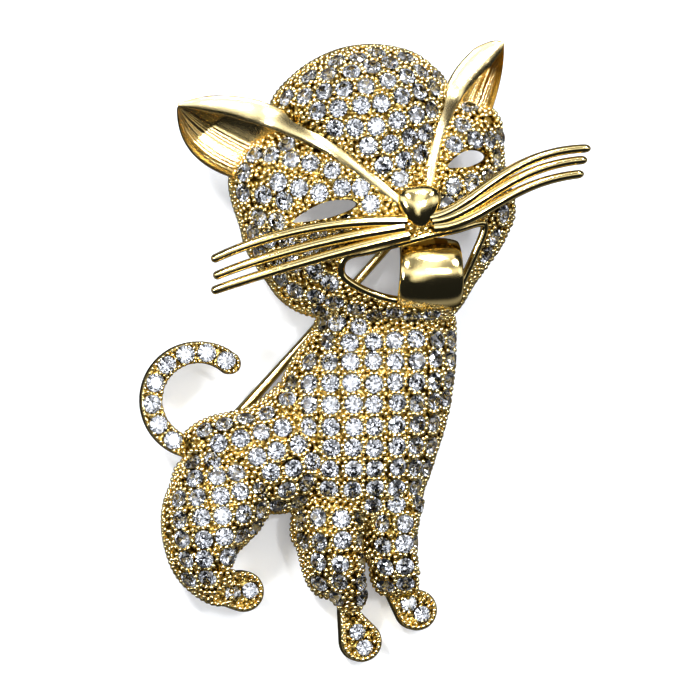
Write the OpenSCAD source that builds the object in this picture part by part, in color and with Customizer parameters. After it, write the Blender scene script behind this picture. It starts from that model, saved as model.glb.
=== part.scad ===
// Cat brooch, lying on its back with the face up.
// It is laid out round the middle of the face and then moved, so that the origin
// is the middle of its plan, on the surface that it lies on.

/* [Head] */
// Width of the face across the cheeks
face_w = 22.4; // [20:0.1:25]
// Height of the face from brow to chin
face_h = 16.8; // [15:0.1:19]
// Rise of the muzzle above the edge of the face
face_rise = 5.2; // [4.4:0.1:6]
// Width of the forehead
forehead_w = 14.4; // [13:0.1:16]
// Height of the forehead
forehead_h = 14.9; // [13.5:0.1:16.5]
// Rise of the forehead above its edge
forehead_rise = 5.8; // [5:0.1:6.6]
// Depth of the steep side wall round the head
head_side = 1.8; // [1.2:0.1:2.6]
// Height of the head's back edge above the body's
head_lift = 0.7; // [0.3:0.1:1.2]

/* [Body] */
// Width of the chest
chest_w = 14.4; // [13:0.1:16]
// Height of the chest from neck to legs
chest_h = 19.2; // [17.5:0.1:21]
// Rise of the chest above its edge
chest_rise = 4.2; // [3.4:0.1:4.8]
// Length of neck that is tucked under the chin
neck_lap = 3; // [2.4:0.1:3.6]
// Width of the loin behind the chest
loin_w = 12.8; // [11.6:0.1:14]
// Height of the loin
loin_h = 8.8; // [8:0.1:10]
// Rise of the loin above its edge
loin_rise = 3.5; // [3:0.1:4.2]
// Width of the haunch
haunch_w = 8.6; // [7.8:0.1:9.4]
// Height of the haunch down to the hock
haunch_h = 12.8; // [11.8:0.1:14]
// Rise of the haunch above its edge
haunch_rise = 3.9; // [3.2:0.1:4.6]
// Width of the front leg on the left
left_leg_w = 5.6; // [5:0.1:6.2]
// Height of the front leg on the left
left_leg_h = 9.9; // [9:0.1:11]
// Width of the front leg on the right
right_leg_w = 4.8; // [4.4:0.1:5.4]
// Height of the front leg on the right
right_leg_h = 8.8; // [8:0.1:9.8]
// Rise of the front legs above their edge
leg_rise = 3.9; // [3.2:0.1:4.4]
// Depth of the steep side wall round the body and the legs
body_side = 1; // [0.7:0.1:1.4]

/* [Casting] */
// Thickness of the cast wall
wall = 0.9; // [0.7:0.05:1]
// Height of the body's open back above the surface
back_z = 2.5; // [2.4:0.05:2.8]
// Height of the legs' open back above the surface
leg_back_z = 1.2; // [0.8:0.1:1.6]

/* [Paws and tail] */
// Width of a paw
paw_d = 3.3; // [3:0.05:3.7]
// Thickness of a front paw
paw_h = 2.4; // [2:0.1:2.8]
// Thickness of the hind paw, which reaches up to the haunch
hind_paw_h = 3.3; // [3.1:0.05:3.5]
// Width of a paw's raised rim
paw_rim = 0.45; // [0.35:0.05:0.55]
// Depth of a paw's floor below its rim
paw_floor = 0.35; // [0.2:0.05:0.5]
// Radius of the curl of the tail
tail_r = 3.84; // [3.5:0.02:4.3]
// Width of the tail
tail_w = 1.75; // [1.6:0.05:1.9]
// Thickness of the tail
tail_h = 1.9; // [1.6:0.1:2.3]
// Turn of the curl, in degrees
tail_turn = 194; // [185:1:205]
// Number of stones on the tail
tail_stones = 8; // [6:1:8]

/* [Ears] */
// Length of the free part of an ear
ear_len = 6.1; // [5.2:0.1:6.8]
// Width of the left ear, which is seen the broader
ear_w = 5; // [4.4:0.1:5.6]
// Thickness of an ear
ear_t = 0.9; // [0.7:0.05:1.1]
// Depth of the dish inside an ear
ear_dish = 0.5; // [0.2:0.05:0.8]
// Height of the ear tips above the surface
ear_z = 6.4; // [6:0.1:7.2]
// Width of the polished bands from ears to nose
band_w = 1.2; // [1:0.05:1.4]

/* [Eyes, nose and mouth] */
// Length of the left eye opening
left_eye_len = 5.2; // [4.6:0.1:5.8]
// Length of the right eye opening
right_eye_len = 3.4; // [2.8:0.1:3.8]
// Height of the eye openings
eye_h = 1.3; // [1:0.05:1.6]
// Width of the nose
nose_w = 2.7; // [2.3:0.1:3.1]
// Height of the nose
nose_h = 2.8; // [2.4:0.1:3.2]
// Width of the mouth opening
mouth_w = 11.7; // [10.8:0.1:12.6]
// Height of the mouth opening
mouth_h = 5.6; // [5:0.1:6.2]
// Thickness of the polished lip round the mouth
lip_d = 0.8; // [0.6:0.05:1]
// Width of the tongue
tongue_w = 5; // [4.4:0.1:5.6]
// Radius of the tongue's curl
tongue_r = 2.85; // [2.6:0.05:3.1]
// Thickness of the tongue
tongue_t = 0.8; // [0.6:0.05:1]

/* [Whiskers] */
// Reach of the left whiskers from the nose
left_whisker_len = 16.5; // [14:0.1:18]
// Reach of the right whiskers from the nose
right_whisker_len = 13.9; // [12.5:0.1:16]
// Thickness of a whisker at its tip
whisker_d = 0.64; // [0.5:0.02:0.8]
// Thickness of a whisker at the nose
whisker_root_d = 1; // [0.8:0.05:1.2]
// Drop of the whisker tips below the nose
whisker_drop = 0.9; // [0.6:0.1:2]
// Steepness at which the whiskers leave the nose
whisker_arch = 2.2; // [1.6:0.1:2.6]

/* [Stones] */
// Width of a stone in the fields
stone_d = 1.4; // [1.2:0.02:1.5]
// Height of a stone above the metal
stone_h = 0.5; // [0.35:0.05:0.6]
// Width of a stone's table as a share of the stone
stone_table = 0.58; // [0.5:0.01:0.66]
// Distance between stones along a row
stone_pitch = 1.8; // [1.7:0.02:2.1]
// Distance between rows of stones
row_pitch = 1.6; // [1.54:0.02:1.9]
// Gap under a stone and least gap between stones
stone_gap = 0.12; // [0.1:0.01:0.2]
// Width of a stone on a paw
paw_stone_d = 1.25; // [1.1:0.05:1.3]
// Width of a stone on the tail
tail_stone_d = 1.4; // [1.2:0.05:1.5]

/* [Pin] */
// Height of the pin above the surface
pin_z = 1.1; // [1.05:0.05:1.2]
// Thickness of the pin along its straight stretch
pin_d = 0.72; // [0.6:0.02:0.8]
// Thickness of the pin at the hinge
pin_root_d = 1.08; // [0.9:0.02:1.2]
// Length of the thick part of the pin from the hinge
pin_root_len = 10.5; // [8:0.5:12]
// Thickness of the pin where it leaves the catch
pin_tip_d = 0.6; // [0.5:0.02:0.66]
// Length of the pin beyond the middle of the catch
pin_past_catch = 2.4; // [2:0.1:3]
// Length of the pin's point
pin_point = 1.6; // [1.2:0.1:1.8]
// Width of the eye at the pin's end
eye_d = 1.6; // [1.5:0.05:1.7]
// Thickness of the eye along the rivet
eye_w = 1.1; // [1.1:0.05:1.3]
// Thickness of the rivet
rivet_d = 0.7; // [0.6:0.02:0.8]
// Thickness of the hinge's sheet
hinge_t = 0.45; // [0.4:0.05:0.5]
// Length of the hinge's plate along the pin
hinge_len = 2.4; // [2.2:0.1:2.6]
// Radial clearance of the rivet in the eye
rivet_fit = 0.04; // [0.02:0.01:0.08]
// Width of the catch across the pin
catch_w = 2; // [1.8:0.1:2.4]
// Length of the catch along the pin
catch_len = 1.6; // [1.3:0.1:2]
// Clearance of the pin in the catch
catch_fit = 0.1; // [0.06:0.01:0.15]
// Solder gap between a fitting and the casting
solder_gap = 0.04; // [0.02:0.01:0.06]

/* [Hidden] */

// Shape of every dome: 1 at its crown and 0 at its edge, full between them
dome_power = 2.37;
dome_round = 0.606;
// Bearings at which an outline is measured, and the dome rings drawn outside and inside
bearings = 33;
void_bearings = 16;
dome_rings = [0.959, 0.831, 0.602, 0.348, 0.098];
void_rings = [0.912, 0.62, 0.103];
smooth_steps = 4;
hull_fn = 24;
eps = 0.01;

// Outlines, clockwise from the left, as shares of half the width and half the height
FACE = [
    [-1.01, 0.36], [-0.99, 0.17], [-0.93, -0.08], [-0.89, -0.29], [-0.77, -0.54], [-0.65, -0.76],
    [-0.49, -0.89], [-0.29, -0.94], [-0.04, -0.98], [0.25, -1], [0.49, -0.97], [0.61, -0.85],
    [0.7, -0.66], [0.83, -0.42], [0.94, -0.2], [1.01, 0.06], [0.98, 0.29], [0.93, 0.55],
    [0.92, 0.79], [0.87, 1.01], [0.64, 1.09], [0.21, 1.09], [-0.21, 1.01], [-0.57, 0.88],
    [-0.82, 0.71], [-0.97, 0.53]
];
FOREHEAD = [
    [-1.02, 0.24], [-0.98, 0.48], [-0.76, 0.71], [-0.52, 0.87], [-0.24, 0.98], [0.07, 1.02],
    [0.4, 0.98], [0.67, 0.86], [0.91, 0.6], [0.98, 0.29], [0.96, -0.09], [0.81, -0.52],
    [0.56, -0.82], [0.23, -0.86], [-0.15, -0.7], [-0.53, -0.4], [-0.84, -0.03]
];
CHEST = [
    [-0.48, 0.83], [-0.52, 0.66], [-0.68, 0.49], [-0.83, 0.33], [-0.93, 0.13], [-0.97, -0.17],
    [-0.9, -0.5], [-0.72, -0.79], [-0.33, -0.96], [0.11, -0.98], [0.48, -0.89], [0.64, -0.68],
    [0.76, -0.43], [0.89, -0.12], [0.97, 0.22], [0.99, 0.5], [0.97, 0.75], [0.72, 0.9],
    [0.22, 0.94], [-0.22, 0.92]
];
LOIN = [
    [-0.93, 0.22], [-0.8, 0.5], [-0.56, 0.68], [-0.25, 0.78], [-0.01, 0.89], [0.21, 1.11],
    [0.44, 1.36], [0.81, 1.27], [1.06, 0.64], [1, -0.18], [0.63, -0.85], [0.21, -1.02],
    [-0.25, -0.82], [-0.75, -0.36]
];
HAUNCH = [
    [-0.65, 0.76], [-0.81, 0.51], [-0.96, 0.26], [-1, -0.03], [-0.94, -0.31], [-0.78, -0.6],
    [-0.48, -0.83], [-0.07, -0.99], [0.26, -0.94], [0.2, -0.65], [0.26, -0.4], [0.6, -0.17],
    [0.85, 0.05], [0.99, 0.26], [0.93, 0.56], [0.54, 0.85], [-0.11, 0.95]
];
LEFT_LEG = [
    [-0.89, 0.73], [-1.06, 0.4], [-1.09, 0.05], [-0.92, -0.14], [-0.8, -0.42], [-0.62, -0.71],
    [-0.31, -0.9], [0.02, -0.95], [0.3, -1.12], [0.69, -1.18], [0.94, -0.97], [0.89, -0.56],
    [0.86, -0.13], [0.94, 0.24], [0.91, 0.73], [0.06, 1.05]
];
RIGHT_LEG = [
    [-0.87, 0.64], [-1.03, 0.18], [-1, -0.2], [-0.77, -0.38], [-0.7, -0.67], [-0.43, -0.89],
    [0, -0.93], [0.4, -1], [0.78, -0.85], [0.7, -0.45], [0.65, 0], [0.75, 0.45],
    [0.9, 0.91], [0.2, 1.22], [-0.57, 1.09]
];
MOUTH = [
    [-0.97, 0.11], [-0.95, -0.26], [-0.71, -0.6], [-0.38, -0.86], [-0.04, -0.97], [0.37, -1],
    [0.62, -0.83], [0.74, -0.34], [0.88, 0.34], [1.01, 1.09], [0.93, 1.26], [0.58, 1.06],
    [0.23, 0.91], [-0.14, 0.71], [-0.59, 0.46], [-0.86, 0.34]
];

// Nose: a shield, counterclockwise from its foot as shares of half its size. Its rings, columns:
// height as a share of the nose's width, share of the outline
NOSE = [
    [0.02, -1], [0.42, -0.72], [0.78, -0.12], [1, 0.47], [0.8, 0.88], [0.3, 1.01],
    [-0.28, 0.99], [-0.77, 0.9], [-1, 0.5], [-0.8, -0.1], [-0.38, -0.7]
];
NOSE_RINGS = [[-0.3, 0.72], [-0.05, 1], [0.13, 0.94], [0.23, 0.74], [0.28, 0.4]];

// Ears. Columns: root as shares of the face, bearing of the tip, foot of the outer edge as
// shares of the face, share of the ear's width and its bearing
EARS = [
    [[-0.46, 0.37], 154, [-0.43, 0.16], 1, 267],
    [[0.353, 0.5], 66, [0.41, 0.46], 0.46, 277]
];
// Bands from the nose to the ear tips. Columns: start from the nose as shares of the nose,
// two guides as shares along and across the way to the tip, side that they bow to
BANDS = [
    [[-0.55, 0.1], [0.247, 0.059], [0.615, 0.23], -1],
    [[0.3, 0.36], [0.189, 0.09], [0.669, 0.225], 1]
];
// Whiskers, seen from above. Columns: root, two guides and tip, as shares of their reach
LEFT_WHISKERS = [
    [[-0.066, -0.072], [-0.42, -0.065], [-0.73, -0.13], [-1, -0.26]],
    [[-0.076, -0.1], [-0.42, -0.155], [-0.73, -0.23], [-0.99, -0.34]],
    [[-0.051, -0.139], [-0.42, -0.225], [-0.735, -0.315], [-1, -0.41]]
];
RIGHT_WHISKERS = [
    [[0.063, -0.062], [0.31, -0.03], [0.49, 0.33], [1, 0.335]],
    [[0.075, -0.082], [0.32, -0.07], [0.5, 0.24], [0.98, 0.27]],
    [[0.085, -0.12], [0.35, -0.12], [0.5, 0.15], [0.96, 0.19]]
];
// Eye openings. Columns: middle as shares of the face, slope, length
EYES = [
    [[-0.195, 0.018], 13.5, left_eye_len],
    [[0.315, 0.264], 16, right_eye_len]
];

function mix(a, b, t) = a + (b - a) * t;
function unit(v) = v / norm(v);
function along(a) = [cos(a), sin(a)];
function flat(v) = [v.x, v.y];

// Closed smooth curve through the points
function smooth(p) = let (n = len(p)) [
    for (i = [0:n - 1], j = [0:smooth_steps - 1])
        let (u = j / smooth_steps, a = p[(i + n - 1) % n], b = p[i], c = p[(i + 1) % n], d = p[(i + 2) % n])
        b + u * ((c - a) / 2 + u * (a - 2.5 * b + 2 * c - d / 2 + u * (1.5 * (b - c) + (d - a) / 2)))
];
function outline(rows, at, w, h) = smooth([for (r = rows) at + [r.x * w / 2, r.y * h / 2]]);

// Distance from a point to an outline round it, along one bearing
function reach(pts, from, a) = let (d = along(a), n = len(pts)) max([
    for (i = [0:n - 1])
        let (p = pts[i] - from, e = pts[(i + 1) % n] - pts[i], k = cross(d, e))
        let (u = abs(k) > 1e-9 ? cross(p, d) / k : -1, s = abs(k) > 1e-9 ? cross(p, e) / k : 0)
        if (u >= 0 && u <= 1 && s > 0) s
]);

// A domed form: crown point, reach at each bearing, foot, start of the dome, rise
function form(rows, at, w, h, crown, foot, side, rise) =
    let (c = at + [crown.x * w / 2, crown.y * h / 2], pts = outline(rows, at, w, h))
    [c, [for (k = [0:bearings - 1]) reach(pts, c, 360 * k / bearings)], foot, foot + side, rise];
function reach_of(f, a) =
    let (s = ((a % 360 + 360) % 360) * bearings / 360, i = floor(s))
    mix(f[1][i % bearings], f[1][(i + 1) % bearings], s - i);
function dome(t) = t >= 1 ? 0 : pow(1 - pow(t, dome_power), dome_round);
function share_out(f, p) = let (d = p - f[0]) norm(d) / reach_of(f, atan2(d.y, d.x));
function height(f, p) = let (t = share_out(f, p)) t < 1 ? f[3] + f[4] * dome(t) : 0;
function top_of(forms, p) = max([for (f = forms) height(f, p)]);

// Places of the forms, the middle of the face being zero
head_foot = back_z + head_lift;
chest_at = [-0.018 * face_w, -face_h / 2 - chest_h / 2 + neck_lap];
loin_at = chest_at + [-0.61 * chest_w, -0.21 * chest_h];
haunch_at = loin_at + [-0.245 * loin_w, -0.62 * loin_h];
left_leg_at = chest_at + [-0.185 * chest_w, -0.5625 * chest_h];
right_leg_at = chest_at + [0.168 * chest_w, -0.58 * chest_h];

face = form(FACE, [0, 0], face_w, face_h, [0.18, 0], head_foot, head_side, face_rise);
forehead = form(FOREHEAD, [-0.03 * face_w, 0.36 * face_h], forehead_w, forehead_h,
    [0.03, 0.15], head_foot, head_side, forehead_rise);
chest = form(CHEST, chest_at, chest_w, chest_h, [-0.16, 0], back_z, body_side, chest_rise);
loin = form(LOIN, loin_at, loin_w, loin_h, [0.2, 0.1], back_z, body_side, loin_rise);
haunch = form(HAUNCH, haunch_at, haunch_w, haunch_h, [0, 0.1], back_z, body_side, haunch_rise);
left_leg = form(LEFT_LEG, left_leg_at, left_leg_w, left_leg_h, [0.05, 0.35], leg_back_z,
    body_side, leg_rise);
right_leg = form(RIGHT_LEG, right_leg_at, right_leg_w, right_leg_h, [0.05, 0.4], leg_back_z,
    body_side, leg_rise);
head_forms = [forehead, face];
body_forms = [chest, haunch, loin, left_leg, right_leg];

// Paws. Columns: middle, bearing and distance of the narrow end, thickness
PAWS = [
    [haunch_at + [0.25 * haunch_w, -0.425 * haunch_h], 190, 2, hind_paw_h],
    [left_leg_at + [0.45 * left_leg_w, -0.83 * left_leg_h], 114, 2.75, paw_h],
    [right_leg_at + [0.4 * right_leg_w, -0.61 * right_leg_h], 142, 2.2, paw_h]
];
paw_narrow = 0.4;

// Notches between the toes that are cast on the legs. Columns: inner end, bearing outwards
NOTCHES = [
    [left_leg_at + [-0.37 * left_leg_w, -0.13 * left_leg_h], 205],
    [left_leg_at + [-0.07 * left_leg_w, -0.38 * left_leg_h], 262],
    [right_leg_at + [-0.37 * right_leg_w, -0.18 * right_leg_h], 215],
    [right_leg_at + [-0.02 * right_leg_w, -0.42 * right_leg_h], 262]
];
notch_w = 0.9;
notch_len = 1.1;

// Tail: its root on the loin, the middle of its curl, and the bearings of its ends
tail_root = loin_at + [-0.49 * loin_w, 0.11 * loin_h];
tail_end = 244;
tail_at = tail_root - tail_r * along(tail_end);
tail_z = back_z - 0.6;

nose_at = [0.136 * face_w, 0.048 * face_h];
nose_z = top_of([face], nose_at) + 0.25;
mouth_at = [0.118 * face_w, -0.238 * face_h];
tongue_at = [0.184 * face_w, -0.267 * face_h];

// Curves through two or one guides, and the way from the nose to the tip of ear k
function arc2(g, t) = mix(mix(g[0], g[1], t), mix(g[1], g[2], t), t);
function arc3(g, t) = mix(arc2([g[0], g[1], g[2]], t), arc2([g[1], g[2], g[3]], t), t);
function ear_tip(e) = [e[0].x * face_w, e[0].y * face_h] + ear_len * along(e[1]);
function band_guides(k) =
    let (b = BANDS[k], a = nose_at + [b[0].x * nose_w, b[0].y * nose_h], c = ear_tip(EARS[k]))
    let (way = c - a, side = b[3] * [-way.y, way.x])
    [a, a + b[1].x * way + b[1].y * side, a + b[2].x * way + b[2].y * side, c];
band_steps = 9;
function band_path(k) = let (g = band_guides(k)) [
    for (i = [0:band_steps])
        let (p = arc3(g, i / band_steps)) [p.x, p.y, max(top_of(head_forms, p) + 0.1, ear_z)]
];

// Pin line: the rivet behind the loin, the catch behind the nose
rivet_at = loin_at + [-0.2625 * loin_w, 0.09 * loin_h];
catch_at = [0.214 * face_w, 0.07 * face_h];
pin_run = norm(catch_at - rivet_at);
pin_angle = atan2(catch_at.y - rivet_at.y, catch_at.x - rivet_at.x);
hinge_out = eye_w / 2 + rivet_fit + hinge_t;

// The plan's extents, which put the origin under its middle
plan_min = [tail_at.x - tail_r - tail_w / 2, PAWS[1][0].y - paw_d / 2];
plan_max = [nose_at.x + right_whisker_len + eps, ear_tip(EARS[1]).y + band_w * 0.2];
plan_mid = (plan_min + plan_max) / 2;

module seated() {
    translate([-plan_mid.x, -plan_mid.y, 0])
        children();
}

// Closed solid through rings of points, each ring counterclockwise from above or ahead
module lofted(rings) {
    n = len(rings[0]);
    m = len(rings);
    points = [for (r = rings) each r];
    sides = [for (j = [0:m - 2], k = [0:n - 1]) let (l = (k + 1) % n) each [
        [j * n + k, (j + 1) * n + k, (j + 1) * n + l],
        [j * n + k, (j + 1) * n + l, j * n + l]
    ]];
    polyhedron(points, concat(sides, [[for (k = [0:n - 1]) k], [for (k = [n - 1:-1:0]) (m - 1) * n + k]]));
}

// Tube round a path, with a width and a height at each point. Every second ring is turned by
// half a side, which keeps its faces out of one plane
module tube(path, wide, tall, sides, closed = false) {
    n = len(path);
    rings = [for (i = [0:n - 1])
        let (a = closed ? path[(i + n - 1) % n] : path[max(i - 1, 0)])
        let (b = closed ? path[(i + 1) % n] : path[min(i + 1, n - 1)])
        let (t = unit(b - a), s = unit(cross([0, 0, 1], t)), u = cross(t, s))
        [for (k = [0:sides - 1]) let (c = along(360 * (k + i % 2 / 2) / sides))
            path[i] + c.x * s * wide[i] + c.y * u * tall[i]]
    ];
    if (closed) {
        links = [for (j = [0:n - 1], k = [0:sides - 1])
            let (l = (k + 1) % sides, g = (j + 1) % n) each [
                [j * sides + k, g * sides + k, g * sides + l],
                [j * sides + k, g * sides + l, j * sides + l]
            ]
        ];
        polyhedron([for (r = rings) each r], links);
    } else {
        lofted(rings);
    }
}

// Ring of points round a form, turned by a share of the step between two of them
function ring(f, n, t, inset, z, turn = 0) = [
    for (k = [0:n - 1]) let (a = 360 * (k + turn) / n)
        concat(f[0] + (reach_of(f, a) - inset) * t * along(a), z)
];

// Outside of a form, or the space inside it
module dome_outside(f) {
    lofted(concat(
        [ring(f, bearings, 1, 0, f[2]), ring(f, bearings, 1, 0, f[3])],
        [for (i = [0:len(dome_rings) - 1]) let (t = dome_rings[i])
            ring(f, bearings, t, 0, f[3] + f[4] * dome(t), (i + 1) % 2 / 2)]
    ));
}

module dome_inside(f) {
    rise = f[4] - wall;
    lofted(concat(
        [ring(f, void_bearings, 1, wall, -1), ring(f, void_bearings, 1, wall, f[3])],
        [for (i = [0:len(void_rings) - 1]) let (t = void_rings[i])
            ring(f, void_bearings, t, wall, f[3] + rise * dome(t), (i + 1) % 2 / 2)]
    ));
}

// Solid posts left inside the casting for the hinge and the catch
module fitting_posts() {
    post = [hinge_len + 0.2, 2 * hinge_out + 0.2, 30];
    for (at = [rivet_at, catch_at])
        translate([at.x, at.y, 0])
            rotate(pin_angle)
                cube(post, center = true);
}

module eye_openings() {
    for (e = EYES)
        translate([e[0].x * face_w, e[0].y * face_h, 0])
            rotate(e[1])
                hull() {
                    translate([-e[2] / 2 + 0.12 * eye_h, 0, 0])
                        cylinder(r = 0.12 * eye_h, h = 20, $fn = hull_fn / 2);
                    translate([0.1 * e[2], 0, 0])
                        cylinder(r = eye_h / 2, h = 20, $fn = hull_fn);
                    translate([e[2] / 2 - 0.38 * eye_h, 0, 0])
                        cylinder(r = 0.38 * eye_h, h = 20, $fn = hull_fn);
                }
}

module shell() {
    difference() {
        union() {
            for (f = concat(head_forms, body_forms))
                dome_outside(f);
        }
        difference() {
            union() {
                for (f = concat(head_forms, body_forms))
                    dome_inside(f);
            }
            fitting_posts();
        }
        eye_openings();
        linear_extrude(20)
            polygon(outline(MOUTH, mouth_at, mouth_w, mouth_h));
        for (n = NOTCHES)
            translate([n[0].x, n[0].y, 0])
                rotate(n[1])
                    linear_extrude(20)
                        polygon([[0, 0], [notch_len, -notch_w / 2], [notch_len, notch_w / 2]]);
    }
}

// One dished ear: a grid between the band and the outer edge
module ear(n) {
    e = EARS[n];
    g = band_guides(n);
    tip = ear_tip(e);
    foot = [e[2].x * face_w, e[2].y * face_h];
    side = [foot, tip + e[3] * ear_w * along(e[4]), tip];
    steps = 5;
    across = 4;
    top = [for (i = [0:steps]) [for (j = [0:across])
        let (s = i / steps, v = j / across)
        let (p = mix(arc3(g, mix(0.5, 0.99, s)), arc2(side, mix(0.02, 0.97, s)), v))
        [p.x, p.y, ear_z - 4 * ear_dish * v * (1 - v)]]
    ];
    rings = [for (r = top) concat(r, [for (j = [across:-1:0]) r[j] - [0, 0, ear_t]])];
    if (e[1] < 90) {
        lofted(rings);
    } else {
        lofted([for (r = rings) [for (k = [len(r) - 1:-1:0]) r[k]]]);
    }
}

module brow_band(n) {
    path = band_path(n);
    ends = [for (i = [0:band_steps]) i == band_steps ? 0.45 : 1];
    tube(path, ends * band_w / 2, ends * band_w * 0.4, 8);
}

module nose() {
    lofted([for (v = NOSE_RINGS) [for (q = NOSE) [
        nose_at.x + q.x * v[1] * nose_w / 2, nose_at.y + q.y * v[1] * nose_h / 2, nose_z + v[0] * nose_w
    ]]]);
}

whisker_steps = 9;
function whisker_path(row, len) =
    let (g = [for (i = [0:3]) let (u = i / 3) [
        nose_at.x + row[i].x * len, nose_at.y + row[i].y * len,
        nose_z + u * (whisker_arch - (whisker_arch + whisker_drop) * u)
    ]])
    [for (i = [0:whisker_steps]) arc3(g, i / whisker_steps)];
whisker_paths = concat(
    [for (row = LEFT_WHISKERS) whisker_path(row, left_whisker_len)],
    [for (row = RIGHT_WHISKERS) whisker_path(row, right_whisker_len)]
);
module whisker(path) {
    r = [for (i = [0:whisker_steps]) mix(whisker_root_d, whisker_d, min(1, 2 * i / whisker_steps)) / 2];
    tube(path, r, r, 7);
}

module lip() {
    pts = outline(MOUTH, mouth_at, mouth_w, mouth_h);
    path = [for (i = [0:2:len(pts) - 1]) [pts[i].x, pts[i].y, top_of(head_forms, pts[i])]];
    r = [for (p = path) lip_d / 2];
    tube([for (i = [len(path) - 1:-1:0]) path[i]], r, r, 6, true);
}

// Tongue: a hoop that leaves the muzzle and comes down on the lower lip
module tongue() {
    low = 15;
    high = 195;
    steps = 12;
    outer = [for (i = [0:steps]) tongue_r * along(mix(low, high, i / steps))];
    inner = [for (i = [steps:-1:0]) (tongue_r - tongue_t) * along(mix(low, high, i / steps))];
    translate([tongue_at.x - tongue_w / 2, tongue_at.y, top_of([face], tongue_at) - tongue_r + 0.9])
        rotate([90, 0, 90])
            linear_extrude(tongue_w)
                polygon(concat(outer, inner));
}

module paw(p) {
    toe = p[0] + p[2] * along(p[1]);
    top = paw_d / 2 - paw_rim;
    difference() {
        hull() {
            translate([p[0].x, p[0].y, 0])
                cylinder(d = paw_d, h = p[3], $fn = hull_fn);
            translate([toe.x, toe.y, 0])
                cylinder(d = paw_narrow * paw_d, h = p[3], $fn = hull_fn / 2);
        }
        translate([0, 0, p[3] - paw_floor])
            hull() {
                translate([p[0].x, p[0].y, 0])
                    cylinder(r = top, h = 2 * paw_floor, $fn = hull_fn);
                translate([toe.x, toe.y, 0])
                    cylinder(d = 0.5 * paw_narrow * paw_d, h = 2 * paw_floor, $fn = hull_fn / 2);
            }
    }
}

// Tail: a bar with a rounded top, bent to the curl and run into the loin
module tail() {
    bevel = 0.2 * tail_w;
    steps = 22;
    start = tail_end - tail_turn;
    section = [
        [-tail_w / 2, 0], [tail_w / 2, 0], [tail_w / 2, tail_h - bevel],
        [tail_w / 2 - bevel, tail_h], [-tail_w / 2 + bevel, tail_h], [-tail_w / 2, tail_h - bevel]
    ];
    translate([tail_at.x, tail_at.y, tail_z])
        lofted([for (i = [0:steps]) let (a = mix(tail_end + 14, start, i / steps)) [
            for (q = section) concat((tail_r + q.x) * along(a), q.y)
        ]]);
    hull() {
        for (z = [0, tail_h - 2 * bevel])
            translate(concat(tail_at + tail_r * along(start), tail_z + z))
                cylinder(d = tail_w - z * 0.3, h = bevel, $fn = hull_fn);
    }
}

module cat_frame() {
    color("goldenrod")
        union() {
            shell();
            for (k = [0, 1]) {
                ear(k);
                brow_band(k);
            }
            nose();
            for (p = whisker_paths)
                whisker(p);
            lip();
            tongue();
            for (p = PAWS)
                paw(p);
            tail();
        }
}

// Stones: a seat is a point on the metal and the direction away from it
slope_step = 0.15;
function seat(forms, p) =
    let (z = top_of(forms, p))
    let (dx = top_of(forms, p + [slope_step, 0]) - top_of(forms, p - [slope_step, 0]))
    let (dy = top_of(forms, p + [0, slope_step]) - top_of(forms, p - [0, slope_step]))
    [[p.x, p.y, z], unit([-dx, -dy, 2 * slope_step])];

// Corner k of a stone's lower edge or of its table
function frame_of(n) = let (s = unit(cross([0, 1, 0.01], n))) [s, cross(n, s), n];
function corners(s, d, up) = let (f = frame_of(s[1])) [
    for (k = [0:7]) let (c = along(45 * k + 22.5) * d / 2) s[0] + c.x * f[0] + c.y * f[1] + up * f[2]
];

// A seat lifted until the stone's lower edge clears the metal round it
function lift_of(forms, s) = max([
    for (c = corners(s, stone_d, 0)) (top_of(forms, flat(c)) - c.z) * s[1].z
]);
function lifted(forms, s) =
    let (up = max(0, lift_of(forms, s)) + stone_gap / 2) [s[0] + up * s[1], s[1], up];

// Grid of rows over one form, bent over its dome, out to a share of its reach
dome_turn = 80;
function grid(f, edge, bow, slope) =
    let (far = max(f[1]) + 0.5 * f[4], rows = ceil(far / row_pitch), cols = ceil(far / stone_pitch))
    [for (j = [-rows:rows], i = [-cols:cols])
        let (u = (i + (j % 2 == 0 ? 0 : 0.5)) * stone_pitch, v = j * row_pitch - bow * u * u)
        let (a = atan2(v, u) + slope, r = reach_of(f, a), l = r + 0.45 * f[4])
        let (t = sin(min(90, dome_turn * norm([u, v]) / l)) / sin(dome_turn))
        if (t < edge) f[0] + t * r * along(a)
    ];

// Seats of one form that aren't under a neighbour, in the keep-outs or too lifted
most_lift = 0.3;
function seats(f, forms, edge, bow, slope, keep_out) = [
    for (p = grid(f, edge, bow, slope))
        if (height(f, p) > top_of(forms, p) - 0.05 && !covered(p, keep_out))
            let (s = lifted(forms, seat(forms, p)))
            if (s[2] < most_lift && s[1].z > 0.25) s
];
function covered(p, discs) = len([for (d = discs) if (norm(p - d[0]) < d[1]) 1]) > 0;

// Takes each seat in turn that clears those already taken
function taken(all, kept = [], i = 0) =
    i >= len(all) ? kept : taken(all, fits(all[i], kept) ? concat(kept, [all[i]]) : kept, i + 1);
function fits(s, kept) = len([
    for (k = kept)
        if (norm(s[0] - k[0]) < stone_d + stone_gap
            || norm(s[0] + stone_h * s[1] - k[0] - stone_h * k[1]) < stone_d * 0.8) 1
]) == 0;

// Many loose stones as one list of points and one of faces
module stone_field(list, d) {
    points = [for (s = list) each concat(corners(s, d, 0), corners(s, d * stone_table, stone_h))];
    one = concat(
        [for (k = [0:7]) let (l = (k + 1) % 8) each [[k, k + 8, l + 8], [k, l + 8, l]]],
        [for (k = [1:6]) [0, k, k + 1]],
        [for (k = [1:6]) [8, 9 + k, 8 + k]]
    );
    polyhedron(points, [for (i = [0:len(list) - 1]) each [for (f = one) f + 16 * i * [1, 1, 1]]]);
}

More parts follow.
